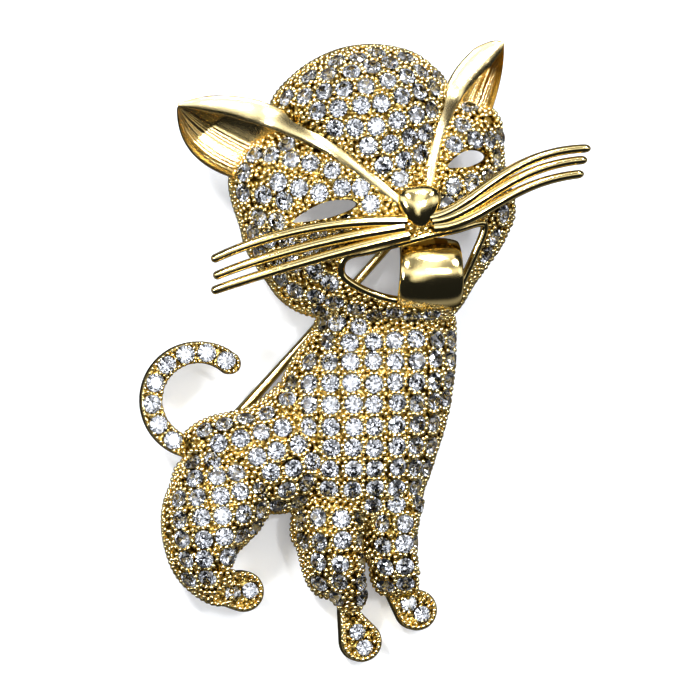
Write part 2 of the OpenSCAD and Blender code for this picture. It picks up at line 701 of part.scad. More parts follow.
// Places on the head where no stone sits: bands, nose, whisker roots, eyes and mouth
function head_keep_out() =
    let (r = stone_d / 2, mouth = outline(MOUTH, mouth_at, mouth_w, mouth_h))
    concat(
        [for (k = [0, 1], i = [0:0.5:band_steps])
            [arc3(band_guides(k), i / band_steps), band_w / 2 + r]],
        [[nose_at, nose_w / 2 + r], [nose_at - [0, nose_h / 2], nose_w / 2 + r]],
        [for (w = whisker_paths, p = w)
            if (p.z - whisker_root_d / 2 < top_of([face], flat(p)) + stone_h + 2 * stone_gap)
                [flat(p), r + whisker_root_d / 2 + stone_gap]],
        [for (e = EARS) [[e[2].x * face_w, e[2].y * face_h], r + ear_t]],
        [for (e = EYES, k = [-0.42:0.14:0.42])
            [[e[0].x * face_w, e[0].y * face_h] + k * e[2] * along(e[1]), r + eye_h * 0.45]],
        [for (p = mouth) [p, r + lip_d / 2 + 0.1]],
        [for (p = mouth) [mix(p, mouth_at, 0.4), r + lip_d / 2 + 0.1]],
        [[tongue_at - [0, tongue_r], tongue_w / 2]]
    );
function body_keep_out() =
    let (r = stone_d / 2)
    concat(
        [for (k = [0:2:bearings - 1], t = [0.75, 0.98])
            [face[0] + face[1][k] * t * along(360 * k / bearings), r + (t < 0.9 ? 2 : 0)]],
        [for (p = PAWS) [p[0], paw_d / 2 + r]],
        [for (p = PAWS) [p[0] + p[2] * along(p[1]), paw_narrow * paw_d / 2 + r]],
        [[tail_at + tail_r * along(tail_end + 10), tail_w / 2 + r]]
    );

module head_stones() {
    out = head_keep_out();
    all = concat(
        seats(forehead, head_forms, 0.95, 0.025, 0, out),
        seats(face, head_forms, 0.95, 0, -4, out)
    );
    color("white")
        stone_field(taken(all), stone_d);
}

module body_stones() {
    out = body_keep_out();
    all = concat(
        seats(chest, body_forms, 0.93, 0, 0, out),
        seats(haunch, body_forms, 0.93, 0.03, -10, out),
        seats(loin, body_forms, 0.93, 0, -6, out),
        seats(left_leg, body_forms, 0.93, 0, 0, out),
        seats(right_leg, body_forms, 0.93, 0, 0, out)
    );
    color("white")
        stone_field(taken(all), stone_d);
}

// Stone i on the tail, counted from its tip
module tail_stone(i) {
    a = mix(tail_end - tail_turn + 6, tail_end - 8, (i - 1) / (tail_stones - 1));
    s = [concat(tail_at + tail_r * along(a), tail_z + tail_h + stone_gap / 2), [0, 0, 1]];
    color("white")
        stone_field([s], tail_stone_d);
}

// Stone i of the paws, two to a paw
module paw_stone(i) {
    p = PAWS[floor((i - 1) / 2)];
    out = (i % 2 == 0 ? 0.7 : -0.42) * paw_stone_d;
    at = p[0] + out * along(p[1]);
    color("white")
        stone_field([[concat(at, p[3] - paw_floor + stone_gap / 2), [0, 0, 1]]], paw_stone_d);
}

// Puts its children on the pin's line, X along it from the rivet
module on_pin(at) {
    translate([at.x, at.y, pin_z])
        rotate(pin_angle)
            children();
}

plate_top = back_z - solder_gap - pin_z;
module pin_hinge() {
    color("darkgoldenrod")
        on_pin(rivet_at)
            difference() {
                union() {
                    translate([-hinge_len / 2, -hinge_out, plate_top - hinge_t])
                        cube([hinge_len, 2 * hinge_out, hinge_t]);
                    for (y = [-hinge_out, hinge_out - hinge_t])
                        translate([0, y, 0]) {
                            translate([-pin_z, 0, 0])
                                cube([2 * pin_z, hinge_t, plate_top - eps]);
                            rotate([-90, 0, 0])
                                cylinder(r = pin_z, h = hinge_t, $fn = 64);
                        }
                }
                translate([0, -hinge_out - 1, 0])
                    rotate([-90, 0, 0])
                        cylinder(d = rivet_d + 0.04, h = 2 * hinge_out + 2, $fn = 48);
            }
}

module pin_rivet() {
    head = 0.2;
    color("gold")
        on_pin(rivet_at) {
            translate([0, -hinge_out - head - 0.02, 0])
                rotate([-90, 0, 0])
                    cylinder(d = rivet_d, h = 2 * (hinge_out + head) + 0.04, $fn = 48);
            for (y = [-hinge_out - head - 0.02, hinge_out + 0.02])
                translate([0, y, 0])
                    rotate([-90, 0, 0])
                        cylinder(d = 1.7 * rivet_d, h = head, $fn = 48);
        }
}

module pin_stem() {
    length = pin_run + pin_past_catch;
    straight_end = pin_run - catch_len;
    color("gold")
        on_pin(rivet_at)
            difference() {
                union() {
                    translate([0, -eye_w / 2, 0])
                        rotate([-90, 0, 0])
                            cylinder(d = eye_d, h = eye_w, $fn = 64);
                    translate([eye_d * 0.35, 0, 0])
                        rotate([0, 90, 0])
                            cylinder(d1 = pin_root_d, d2 = pin_d, h = pin_root_len - eye_d * 0.35, $fn = 48);
                    translate([pin_root_len, 0, 0])
                        rotate([0, 90, 0])
                            cylinder(d = pin_d, h = straight_end - pin_root_len, $fn = 48);
                    translate([straight_end, 0, 0])
                        rotate([0, 90, 0])
                            cylinder(d1 = pin_d, d2 = pin_tip_d, h = length - pin_point - straight_end, $fn = 48);
                    translate([length - pin_point, 0, 0])
                        rotate([0, 90, 0])
                            cylinder(d1 = pin_tip_d, d2 = 0.08, h = pin_point, $fn = 48);
                }
                translate([0, -eye_w, 0])
                    rotate([-90, 0, 0])
                        cylinder(d = rivet_d + 2 * rivet_fit, h = 2 * eye_w, $fn = 48);
            }
}

module pin_catch() {
    slot = pin_d / 2 + catch_fit;
    top = head_foot - solder_gap - pin_z;
    color("darkgoldenrod")
        on_pin(catch_at)
            difference() {
                translate([-catch_len / 2, -catch_w / 2, -pin_z])
                    cube([catch_len, catch_w, pin_z + top]);
                translate([-catch_len, 0, 0])
                    rotate([0, 90, 0])
                        cylinder(r = slot, h = 2 * catch_len, $fn = 48);
                translate([-catch_len, -slot, -pin_z - 1])
                    cube([2 * catch_len, 2 * slot, pin_z + 1]);
            }
}

seated() cat_frame();
seated() head_stones();
seated() body_stones();
for (i = [1:tail_stones])
    seated() tail_stone(i);
for (i = [1:6])
    seated() paw_stone(i);
seated() pin_hinge();
seated() pin_rivet();
seated() pin_stem();
seated() pin_catch();
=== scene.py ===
import math
import random
import bmesh
import bpy
import numpy as np
from mathutils import Matrix, Vector, kdtree


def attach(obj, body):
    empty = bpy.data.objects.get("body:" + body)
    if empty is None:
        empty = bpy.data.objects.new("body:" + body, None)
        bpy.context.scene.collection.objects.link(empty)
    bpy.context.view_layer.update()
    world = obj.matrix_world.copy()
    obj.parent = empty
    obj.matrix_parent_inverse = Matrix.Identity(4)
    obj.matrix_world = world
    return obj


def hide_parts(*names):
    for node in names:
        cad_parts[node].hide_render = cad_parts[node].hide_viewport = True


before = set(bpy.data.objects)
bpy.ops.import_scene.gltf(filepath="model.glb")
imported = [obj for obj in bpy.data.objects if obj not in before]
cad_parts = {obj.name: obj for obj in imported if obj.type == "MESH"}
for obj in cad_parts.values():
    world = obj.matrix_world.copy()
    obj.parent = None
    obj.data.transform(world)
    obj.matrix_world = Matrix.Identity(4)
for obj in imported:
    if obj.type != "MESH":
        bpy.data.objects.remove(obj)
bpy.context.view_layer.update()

# Camera
# The brooch lies on a pale table and is looked at from straight above, a few degrees from
# its left side. The lens is long, so the face isn't drawn larger than the paws.
MM = 0.001
lean = math.radians(7)
aim = Vector((-1.12, 0.13, 4.5))  # what the middle of the picture shows, in mm
picture_w = 56  # mm of the brooch that the picture spans
back = Vector((-math.sin(lean), 0, math.cos(lean)))
lens = bpy.data.cameras.new("photo_lens")
lens.lens = 400
lens.sensor_width = 36
lens.clip_start, lens.clip_end = 0.05, 5
camera = bpy.data.objects.new("camera", lens)
away = picture_w * MM / lens.sensor_width * lens.lens
camera.matrix_world = Matrix.Translation(aim * MM + back * away) @ Matrix((
    (math.cos(lean), 0, back.x, 0), (0, 1, 0, 0), (math.sin(lean), 0, back.z, 0), (0, 0, 0, 1),
))
bpy.context.scene.collection.objects.link(camera)
bpy.context.scene.camera = camera
bpy.context.scene.view_settings.view_transform = "Standard"
bpy.context.scene.view_settings.look = "Medium High Contrast"


# Table
# A round sheet of pale, smooth card under the brooch, lit until it is nearly white. Its finish,
# like every later one, is a small tree of nodes: arithmetic on a Level adds Math nodes, and
# any other node comes from Finish.node, which sets the node up before its sockets.
class Level:
    def __init__(self, finish, socket):
        self.finish, self.socket = finish, socket

    def math(self, how, a, b):
        return self.finish.node("ShaderNodeMath", {"operation": how}, {0: a, 1: b})

    def __add__(self, other):
        return self.math("ADD", self, other)

    def __mul__(self, other):
        return self.math("MULTIPLY", self, other)

    def __rsub__(self, other):
        return self.math("SUBTRACT", other, self)

    __radd__, __rmul__ = __add__, __mul__


class Finish:
    def __init__(self, name, kind=bpy.data.materials):
        self.material = kind.new(name)
        self.material.use_nodes = True
        self.tree = self.material.node_tree
        self.tree.nodes.clear()
        self.place = self.node("ShaderNodeTexCoord", out="Object")

    def node(self, kind, settings={}, sockets={}, out=0):
        made = self.tree.nodes.new(kind)
        for name, value in settings.items():
            if name == "stops":
                while len(made.color_ramp.elements) < len(value):
                    made.color_ramp.elements.new(0.5)
                for stop, (at, colour) in zip(made.color_ramp.elements, value):
                    stop.position, stop.color = at, (*colour, 1)
            else:
                setattr(made, name, value)
        for name, value in sockets.items():
            if isinstance(value, Level):
                self.tree.links.new(value.socket, made.inputs[name])
            else:
                made.inputs[name].default_value = value
        return Level(self, made.outputs[out]) if made.outputs else None

    def noise(self, size, detail=2, stretch=(1, 1, 1)):
        placed = self.node("ShaderNodeMapping", {}, {"Vector": self.place, "Scale": stretch})
        return self.node("ShaderNodeTexNoise", {}, {
            "Vector": placed, "Scale": 1 / (size * MM), "Detail": detail})

    def blend(self, share, a, b):
        return self.node("ShaderNodeMix", {"data_type": "RGBA"}, {0: share, 6: a, 7: b}, out=2)

    def bump(self, level, depth):
        return self.node("ShaderNodeBump", {}, {"Height": level, "Distance": depth * MM, "Strength": 1})

    def surface(self, **sockets):
        shader = self.node("ShaderNodeBsdfPrincipled", {}, {
            name.replace("_", " "): value for name, value in sockets.items()})
        self.node("ShaderNodeOutputMaterial", {}, {"Surface": shader})
        return self.material


def mesh_object(name, points, faces, *finishes, smooth=40):
    mesh = bpy.data.meshes.new(name)
    mesh.from_pydata([tuple(float(x) * MM for x in p) for p in points], [], faces)
    mesh.validate()
    shape = bmesh.new()
    shape.from_mesh(mesh)
    bmesh.ops.recalc_face_normals(shape, faces=shape.faces)
    shape.to_mesh(mesh)
    shape.free()
    for f in finishes:
        mesh.materials.append(f)
    if smooth:
        mesh.shade_smooth()
        mesh.set_sharp_from_angle(angle=math.radians(smooth))
    made = bpy.data.objects.new(name, mesh)
    bpy.context.scene.collection.objects.link(made)
    return made


def along(bearing):
    return np.array((math.cos(math.radians(bearing)), math.sin(math.radians(bearing))))


def shell_faces(n, rings, closed=False):
    faces = [(j * n + k, j * n + (k + 1) % n, (j + 1) % rings * n + (k + 1) % n, (j + 1) % rings * n + k)
             for j in range(rings if closed else rings - 1) for k in range(n)]
    return faces if closed else faces + [
        tuple(range(n - 1, -1, -1)), tuple((rings - 1) * n + k for k in range(n))]


def prism(outline, low, high):
    n = len(outline)
    return [(*p, low) for p in outline] + [(*p, high) for p in outline], shell_faces(n, 2)


card = Finish("pale_card")
card_white = card.surface(
    Base_Color=card.blend(card.noise(30), (0.78, 0.8, 0.83, 1), (0.82, 0.83, 0.85, 1)),
    Roughness=0.75, Normal=card.bump(card.noise(0.4), 0.01),
    Emission_Color=card.blend(card.noise(60), (0.93, 0.95, 1, 1), (0.96, 0.97, 1, 1)),
    Emission_Strength=0.27,
)
card_r, card_top, card_foot = 800, -0.02, -4
table = mesh_object(
    "table", *prism([card_r * along(a) for a in np.arange(0, 360, 7.5)], card_foot, card_top), card_white)
table.visible_glossy = False


# Studio
# A wide soft box and three strips overhead, three boxes round the sides and five small lamps
# for the bright points. The near side is dark and gives the gold its dark reflections, and a
# dim glow below stands for the card in them, because mirrors don't see the card itself.
studio = Finish("studio", bpy.data.worlds)
way = studio.node("ShaderNodeTexCoord", out="Generated")
height = studio.node("ShaderNodeSeparateXYZ", {}, {0: way}, out=2)
glow = studio.node("ShaderNodeValToRGB", {"stops": [
    (0.12, (0.03, 0.03, 0.03)), (0.32, (0.3, 0.3, 0.31)),
    (0.42, (0.2, 0.2, 0.21)), (0.5, (0.02, 0.022, 0.025)),
]}, {0: height * 0.5 + 0.5})
dim = studio.node("ShaderNodeBackground", {}, {"Color": glow})
studio.node("ShaderNodeOutputWorld", {}, {"Surface": dim})
bpy.context.scene.world = studio.material
SOFT_BOXES = [  # name, place and size in mm, power, colour
    ("sky_box", (0, 420, 1000), (2000, 1300), 1.7, (0.95, 0.97, 1)),
    ("strip_left", (-400, 120, 900), (260, 1100), 0.7, (0.98, 0.99, 1)),
    ("strip_middle", (30, 120, 900), (200, 1100), 0.8, (1, 1, 1)),
    ("strip_right", (430, 120, 900), (260, 1100), 0.65, (1, 1, 1)),
    ("far_box", (0, 780, 420), (900, 300), 0.9, (1, 0.99, 0.97)),
    ("left_box", (-760, 150, 380), (260, 600), 0.7, (0.97, 0.99, 1)),
    ("right_box", (760, 100, 420), (260, 600), 0.5, (1, 1, 1)),
    ("lamp_1", (-330, 420, 700), (110, 110), 4.0, (1, 0.99, 0.97)),
    ("lamp_2", (210, 110, 860), (80, 80), 1.7, (1, 1, 1)),
    ("lamp_3", (420, 420, 520), (90, 90), 2.2, (1, 1, 1)),
    ("lamp_4", (-520, -60, 560), (90, 90), 1.8, (1, 1, 1)),
    ("lamp_5", (120, 620, 560), (100, 100), 2.2, (1, 1, 1)),
]
for name, place, size, power, colour in SOFT_BOXES:
    lamp = bpy.data.lights.new(name, "AREA")
    lamp.shape, lamp.size, lamp.size_y = "RECTANGLE", size[0] * MM, size[1] * MM
    lamp.energy, lamp.color = power, colour
    holder = bpy.data.objects.new(name, lamp)
    holder.location = Vector(place) * MM
    holder.rotation_mode = "QUATERNION"
    holder.rotation_quaternion = Vector(place).to_track_quat("Z", "Y")
    bpy.context.scene.collection.objects.link(holder)


# Cast body
# One hollow casting in gold plated brass: domed forms for the head, chest, loin, haunch and
# legs, cut through at the eyes and the mouth, with a seat drilled for every stone.
FACE = [
    (-1.01, 0.36), (-0.99, 0.17), (-0.93, -0.08), (-0.89, -0.29), (-0.77, -0.54), (-0.65, -0.76),
    (-0.49, -0.89), (-0.29, -0.94), (-0.04, -0.98), (0.25, -1), (0.49, -0.97), (0.61, -0.85),
    (0.7, -0.66), (0.83, -0.42), (0.94, -0.2), (1.01, 0.06), (0.98, 0.29), (0.93, 0.55),
    (0.92, 0.79), (0.87, 1.01), (0.64, 1.09), (0.21, 1.09), (-0.21, 1.01), (-0.57, 0.88),
    (-0.82, 0.71), (-0.97, 0.53),
]
FOREHEAD = [
    (-1.02, 0.24), (-0.98, 0.48), (-0.76, 0.71), (-0.52, 0.87), (-0.24, 0.98), (0.07, 1.02),
    (0.4, 0.98), (0.67, 0.86), (0.91, 0.6), (0.98, 0.29), (0.96, -0.09), (0.81, -0.52),
    (0.56, -0.82), (0.23, -0.86), (-0.15, -0.7), (-0.53, -0.4), (-0.84, -0.03),
]
CHEST = [
    (-0.48, 0.83), (-0.52, 0.66), (-0.68, 0.49), (-0.83, 0.33), (-0.93, 0.13), (-0.97, -0.17),
    (-0.9, -0.5), (-0.72, -0.79), (-0.33, -0.96), (0.11, -0.98), (0.48, -0.89), (0.64, -0.68),
    (0.76, -0.43), (0.89, -0.12), (0.97, 0.22), (0.99, 0.5), (0.97, 0.75), (0.72, 0.9),
    (0.22, 0.94), (-0.22, 0.92),
]
LOIN = [
    (-0.93, 0.22), (-0.8, 0.5), (-0.56, 0.68), (-0.25, 0.78), (-0.01, 0.89), (0.21, 1.11),
    (0.44, 1.36), (0.81, 1.27), (1.06, 0.64), (1, -0.18), (0.63, -0.85), (0.21, -1.02),
    (-0.25, -0.82), (-0.75, -0.36),
]
HAUNCH = [
    (-0.65, 0.76), (-0.81, 0.51), (-0.96, 0.26), (-1, -0.03), (-0.94, -0.31), (-0.78, -0.6),
    (-0.48, -0.83), (-0.07, -0.99), (0.26, -0.94), (0.2, -0.65), (0.26, -0.4), (0.6, -0.17),
    (0.85, 0.05), (0.99, 0.26), (0.93, 0.56), (0.54, 0.85), (-0.11, 0.95),
]
LEFT_LEG = [
    (-0.89, 0.73), (-1.06, 0.4), (-1.09, 0.05), (-0.92, -0.14), (-0.8, -0.42), (-0.62, -0.71),
    (-0.31, -0.9), (0.02, -0.95), (0.3, -1.12), (0.69, -1.18), (0.94, -0.97), (0.89, -0.56),
    (0.86, -0.13), (0.94, 0.24), (0.91, 0.73), (0.06, 1.05),
]
RIGHT_LEG = [
    (-0.87, 0.64), (-1.03, 0.18), (-1, -0.2), (-0.77, -0.38), (-0.7, -0.67), (-0.43, -0.89),
    (0, -0.93), (0.4, -1), (0.78, -0.85), (0.7, -0.45), (0.65, 0), (0.75, 0.45),
    (0.9, 0.91), (0.2, 1.22), (-0.57, 1.09),
]
MOUTH = [
    (-0.97, 0.11), (-0.95, -0.26), (-0.71, -0.6), (-0.38, -0.86), (-0.04, -0.97), (0.37, -1),
    (0.62, -0.83), (0.74, -0.34), (0.88, 0.34), (1.01, 1.09), (0.93, 1.26), (0.58, 1.06),
    (0.23, 0.91), (-0.14, 0.71), (-0.59, 0.46), (-0.86, 0.34),
]
middle = np.array((-0.767227, -10.7272))  # of the plan, from the middle of the face
dome_power, dome_round, wall = 2.37, 0.606, 0.9


def rounded(points, steps=6):
    p = np.array(points, float)
    a, b, c, d = np.roll(p, 1, 0), p, np.roll(p, -1, 0), np.roll(p, -2, 0)
    curve = [
        b + u * ((c - a) / 2 + u * (a - 2.5 * b + 2 * c - d / 2 + u * (1.5 * (b - c) + (d - a) / 2)))
        for u in np.arange(steps) / steps]
    return np.stack(curve, 1).reshape(-1, p.shape[1])


class Dome:
    """One domed form: upright sides, then a top that is full at its edge and flat at its crown."""
    bearings = 144

    def __init__(self, rows, at, size, crown, foot, side, rise):
        at, size = np.array(at) - middle, np.array(size)
        self.crown = at + np.array(crown) * size / 2
        edge = rounded(rows) * size / 2 + at - self.crown
        step = np.roll(edge, -1, 0) - edge
        self.angles = np.linspace(0, 2 * math.pi, self.bearings, endpoint=False)
        self.reach = []
        for a in self.angles:
            d = np.array((math.cos(a), math.sin(a)))
            k = d[0] * step[:, 1] - d[1] * step[:, 0]
            k = np.where(np.abs(k) < 1e-9, 1e-9, k)
            u = (edge[:, 0] * d[1] - edge[:, 1] * d[0]) / k
            s = (edge[:, 0] * step[:, 1] - edge[:, 1] * step[:, 0]) / k
            self.reach.append(s[(u >= 0) & (u <= 1) & (s > 0)].max())
        self.reach = np.array(self.reach)
        self.foot, self.start, self.rise = foot, foot + side, rise

    def share(self, p):
        d = np.asarray(p) - self.crown
        return np.hypot(d[..., 0], d[..., 1]) / np.interp(
            np.arctan2(d[..., 1], d[..., 0]) % (2 * math.pi),
            np.append(self.angles, 2 * math.pi), np.append(self.reach, self.reach[0]))

    def height(self, p):
        t = self.share(p)
        domed = self.start + self.rise * (1 - np.minimum(t, 1) ** dome_power) ** dome_round
        return np.where(t < 1, domed, 0)

    def solid(self, inset=0, foot=None, thinner=0):
        """Rings from the foot up over the dome, as points and faces."""
        shares = [1, 1] + list(1 - np.linspace(0.06, 0.985, 20) ** 1.7)
        heights = [self.foot if foot is None else foot, self.start] + [
            self.start + (self.rise - thinner) * (1 - t ** dome_power) ** dome_round
            for t in shares[2:]]
        n = self.bearings
        points = [
            (*(self.crown + (self.reach[k] - inset) * t * np.array((math.cos(a), math.sin(a)))), z)
            for t, z in zip(shares, heights) for k, a in enumerate(self.angles)]
        return points, shell_faces(n, len(shares))


face_w, face_h, chest_w, chest_h = 22.4, 16.8, 14.4, 19.2
loin_w, loin_h, haunch_w, haunch_h = 12.8, 8.8, 8.6, 12.8
left_leg_w, left_leg_h, right_leg_w, right_leg_h = 5.6, 9.9, 4.8, 8.8
back_z, head_back_z, leg_back_z = 2.5, 3.2, 1.2
chest_at = np.array((-0.018 * face_w, -face_h / 2 - chest_h / 2 + 3))
loin_at = chest_at + (-0.61 * chest_w, -0.21 * chest_h)
haunch_at = loin_at + (-0.245 * loin_w, -0.62 * loin_h)
left_leg_at = chest_at + (-0.185 * chest_w, -0.5625 * chest_h)
right_leg_at = chest_at + (0.168 * chest_w, -0.58 * chest_h)
face = Dome(FACE, (0, 0), (face_w, face_h), (0.18, 0), head_back_z, 1.8, 5.2)
forehead = Dome(
    FOREHEAD, (-0.03 * face_w, 0.36 * face_h), (14.4, 14.9), (0.03, 0.15), head_back_z, 1.8, 5.8)
chest = Dome(CHEST, chest_at, (chest_w, chest_h), (-0.16, 0), back_z, 1, 4.2)
loin = Dome(LOIN, loin_at, (loin_w, loin_h), (0.2, 0.1), back_z, 1, 3.5)
haunch = Dome(HAUNCH, haunch_at, (haunch_w, haunch_h), (0, 0.1), back_z, 1, 3.9)
left_leg = Dome(LEFT_LEG, left_leg_at, (left_leg_w, left_leg_h), (0.05, 0.35), leg_back_z, 1, 3.9)
right_leg = Dome(RIGHT_LEG, right_leg_at, (right_leg_w, right_leg_h), (0.05, 0.4), leg_back_z, 1, 3.9)
HEAD, BODY = [forehead, face], [chest, haunch, loin, left_leg, right_leg]


def top_of(forms, p):
    return np.max([f.height(p) for f in forms], axis=0)


def seat_on(forms, p):
    """The points on the metal over p, and the directions away from it there."""
    p, step = np.asarray(p, float), 0.15
    dx = top_of(forms, p + (step, 0)) - top_of(forms, p - (step, 0))
    dy = top_of(forms, p + (0, step)) - top_of(forms, p - (0, step))
    out = np.stack([-dx, -dy, np.full(dx.shape, 2 * step)], -1)
    out = out / np.linalg.norm(out, axis=-1, keepdims=True)
    return np.concatenate([p, top_of(forms, p)[..., None]], -1), out


def arc(guides, t):
    g = [np.array(q, float) for q in guides]
    while len(g) > 1:
        g = [a + (b - a) * t for a, b in zip(g, g[1:])]
    return g[0]


nose_at = np.array((0.136 * face_w, 0.048 * face_h)) - middle
nose_w, nose_h = 2.7, 2.8
nose_z = float(face.height(nose_at)) + 0.25
mouth_w, mouth_h = 11.7, 5.6
mouth_edge = rounded(MOUTH, 8) * (mouth_w / 2, mouth_h / 2) + (0.118 * face_w, -0.238 * face_h) - middle
EYES = [  # middle, slope, length
    (np.array((-0.195 * face_w, 0.018 * face_h)) - middle, 16.5, 5.2),
    (np.array((0.315 * face_w, 0.264 * face_h)) - middle, 16, 3.4),
]
eye_h = 1.3
ear_len, ear_z, ear_w = 6.1, 6.4, 5
EARS = [  # root, bearing of the tip, foot of the outer edge, width, bearing of the bulge
    (np.array((-0.46 * face_w, 0.37 * face_h)) - middle, 154,
     np.array((-0.43 * face_w, 0.16 * face_h)) - middle, 1, 267),
    (np.array((0.353 * face_w, 0.5 * face_h)) - middle, 66,
     np.array((0.41 * face_w, 0.46 * face_h)) - middle, 0.46, 277),
]
BANDS = [  # start beside the nose, two bends as shares of the way to the tip, side of the bulge
    ((-0.55, 0.1), (0.247, 0.059), (0.615, 0.23), -1),
    ((0.3, 0.36), (0.189, 0.09), (0.669, 0.225), 1),
]
EAR_TIPS = [root + ear_len * along(bearing) for root, bearing, *_ in EARS]


def band_guides(k):
    start, one, two, side = BANDS[k]
    a = nose_at + np.array(start) * (nose_w, nose_h)
    way = EAR_TIPS[k] - a
    across = side * np.array((-way[1], way[0]))
    return [a, a + one[0] * way + one[1] * across, a + two[0] * way + two[1] * across, EAR_TIPS[k]]


left_reach, right_reach = 16.5, 13.9
LEFT_WHISKERS = [  # root, two bends and tip, from the nose, as shares of the reach
    ((-0.066, -0.072), (-0.42, -0.065), (-0.73, -0.13), (-1, -0.26)),
    ((-0.076, -0.1), (-0.42, -0.155), (-0.73, -0.23), (-0.99, -0.34)),
    ((-0.051, -0.139), (-0.42, -0.225), (-0.735, -0.315), (-1, -0.41)),
]
RIGHT_WHISKERS = [
    ((0.063, -0.062), (0.31, -0.03), (0.49, 0.33), (1, 0.335)),
    ((0.075, -0.082), (0.32, -0.07), (0.5, 0.24), (0.98, 0.27)),
    ((0.085, -0.12), (0.35, -0.12), (0.5, 0.15), (0.96, 0.19)),
]


def whisker_guides(row, reach):
    return [(nose_at[0] + q[0] * reach, nose_at[1] + q[1] * reach,
             nose_z + u * (2.2 - 3.1 * u)) for q, u in zip(row, (0, 1 / 3, 2 / 3, 1))]


WHISKERS = [whisker_guides(row, left_reach) for row in LEFT_WHISKERS] + [
    whisker_guides(row, right_reach) for row in RIGHT_WHISKERS]
PAWS = [  # middle, bearing and distance of the narrow end, thickness
    (haunch_at + (0.25 * haunch_w, -0.425 * haunch_h) - middle, 190, 2, 3.3),
    (left_leg_at + (0.45 * left_leg_w, -0.83 * left_leg_h) - middle, 114, 2.75, 2.4),
    (right_leg_at + (0.4 * right_leg_w, -0.61 * right_leg_h) - middle, 142, 2.2, 2.4),
]
paw_r, paw_tip_r = 1.65, 0.66
tail_r, tail_w, tail_top, tail_z = 3.84, 1.75, 1.8, 1.9
tail_end, tail_turn = 244, 194  # bearing of the root, and degrees to the tip
tail_at = loin_at + (-0.49 * loin_w, 0.11 * loin_h) - middle - tail_r * along(tail_end)

# Every stone's place. The rows of each form start at its crown and follow its dome.
stone_r = 0.75


def turned(out):
    side = np.cross((0, 1, 0.01), out)
    side /= np.linalg.norm(side)
    return np.stack([side, np.cross(out, side), out], 1)


def oval(at, slope, length):
    """Outline of an eye: pointed at its left end and full at its right."""
    turn = np.array((along(slope), along(slope + 90)))
    angles = np.linspace(0, 2 * math.pi, 40, endpoint=False)
    x, full = np.cos(angles), (np.cos(angles) + 1) / 1.05
    y = np.sin(angles) * (0.5 + 0.5 * np.minimum(1, full) ** 0.8) + 0.24 * (1 - x * x)
    return at + np.stack([x * length / 2, y * eye_h / 2], 1) @ turn


OPENINGS = [mouth_edge] + [oval(*e) for e in EYES]


def clear_of(outline, p):
    """Distance from p to an outline, less than zero inside it."""
    a, b = outline, np.roll(outline, -1, 0)
    way = b - a
    t = np.clip(((p - a) * way).sum(1) / (way * way).sum(1), 0, 1)
    far = np.linalg.norm(a + t[:, None] * way - p, axis=1).min()
    above = (a[:, 1] > p[1]) != (b[:, 1] > p[1])
    rise = np.where(np.abs(way[:, 1]) < 1e-9, 1e-9, way[:, 1])
    return -far if (above & (p[0] < a[:, 0] + (p[1] - a[:, 1]) * way[:, 0] / rise)).sum() % 2 else far


# Places that hold no stone: columns are x, y and radius
BAND_WIDTHS = [  # share of the way along a band, and its width there
    ((0, 0.7), (0.25, 0.95), (0.42, 1.3), (0.58, 1.75), (0.75, 1.9), (0.9, 1.35), (1, 0.3)),
    ((0, 0.5), (0.25, 0.8), (0.45, 1.2), (0.6, 1.45), (0.75, 1.85), (0.88, 1.9), (0.96, 1.2),
     (1, 0.35)),
]
band_discs = [
    (*arc(band_guides(k), t), 0.5 * np.interp(t, *zip(*BAND_WIDTHS[k])) - 0.12)
    for k in (0, 1) for t in np.linspace(0, 1, 60)]
ear_discs = [(*e[2], 0.3) for e in EARS]
nose_discs = [(*nose_at, 1.15), (*(nose_at - (0, 0.9)), 0.7)]
whisker_discs = [
    (q[0], q[1], 0.25) for g in WHISKERS for q in [arc(g, t) for t in np.linspace(0, 1, 50)]
    if q[2] - 0.5 < face.height(q[:2])]
paw_discs = [
    (*(at + s * reach * along(b)), paw_r + s * (paw_tip_r - paw_r) - less)
    for (at, b, reach, _), shares, less in zip(
        PAWS, ((0, 0.25, 0.5, 0.75, 1), (0, 0.3), (0, 0.3)), (0.05, 0.2, 0.2)) for s in shares]
tail_discs = [
    (*(tail_at + tail_r * along(a)), tail_w / 2 - 0.1)
    for a in range(tail_end - tail_turn, tail_end + 4, 4)]
HEAD_BARE = np.array(band_discs + ear_discs + nose_discs + whisker_discs)
BODY_BARE = np.array(paw_discs + tail_discs)


def free(p, forms, margin):
    bare = HEAD_BARE if forms is HEAD else BODY_BARE
    if (np.hypot(bare[:, 0] - p[0], bare[:, 1] - p[1]) < bare[:, 2] + margin).any():
        return False
    if forms is HEAD:
        return min(clear_of(o, p) for o in OPENINGS) > margin + 0.04
    return min(f.share(p) for f in HEAD) > 1 + 0.08 * margin


def stepped(forms, p, bearing, far):
    """The point that lies far along the metal from p."""
    start, reach = np.array((*p, top_of(forms, p))), far
    for _ in range(4):
        q = p + reach * along(bearing)
        reach *= far / max(0.3 * far, np.linalg.norm(np.array((*q, top_of(forms, q))) - start))
    return p + reach * along(bearing)


# Rows of stones, set by eye, so each stone wanders a little. Columns: form, pitch in a row,
# pitch of the rows, bearings of a row to the right and to the left, shift of every second
# row, start beside the crown
chance = random.Random(7)
stones_apart, wander = 1.5, 0.09
HEAD_ROWS = [(forehead, 1.72, 1.6, 16, 188, 0.5, (0, 0)), (face, 1.7, 1.6, 12, 164, 0.5, (-0.3, 0))]
BODY_ROWS = [
    (chest, 1.78, 1.7, 2, 180, 0, (-0.4, 0)), (left_leg, 1.76, 1.76, 0, 180, 0, (0.3, 0)),
    (right_leg, 1.6, 1.74, 4, 184, 0, (0.2, 0)), (haunch, 1.7, 1.64, 10, 184, 0, (0, 0)),
    (loin, 1.7, 1.62, 14, 194, 0.5, (0, 0)),
]


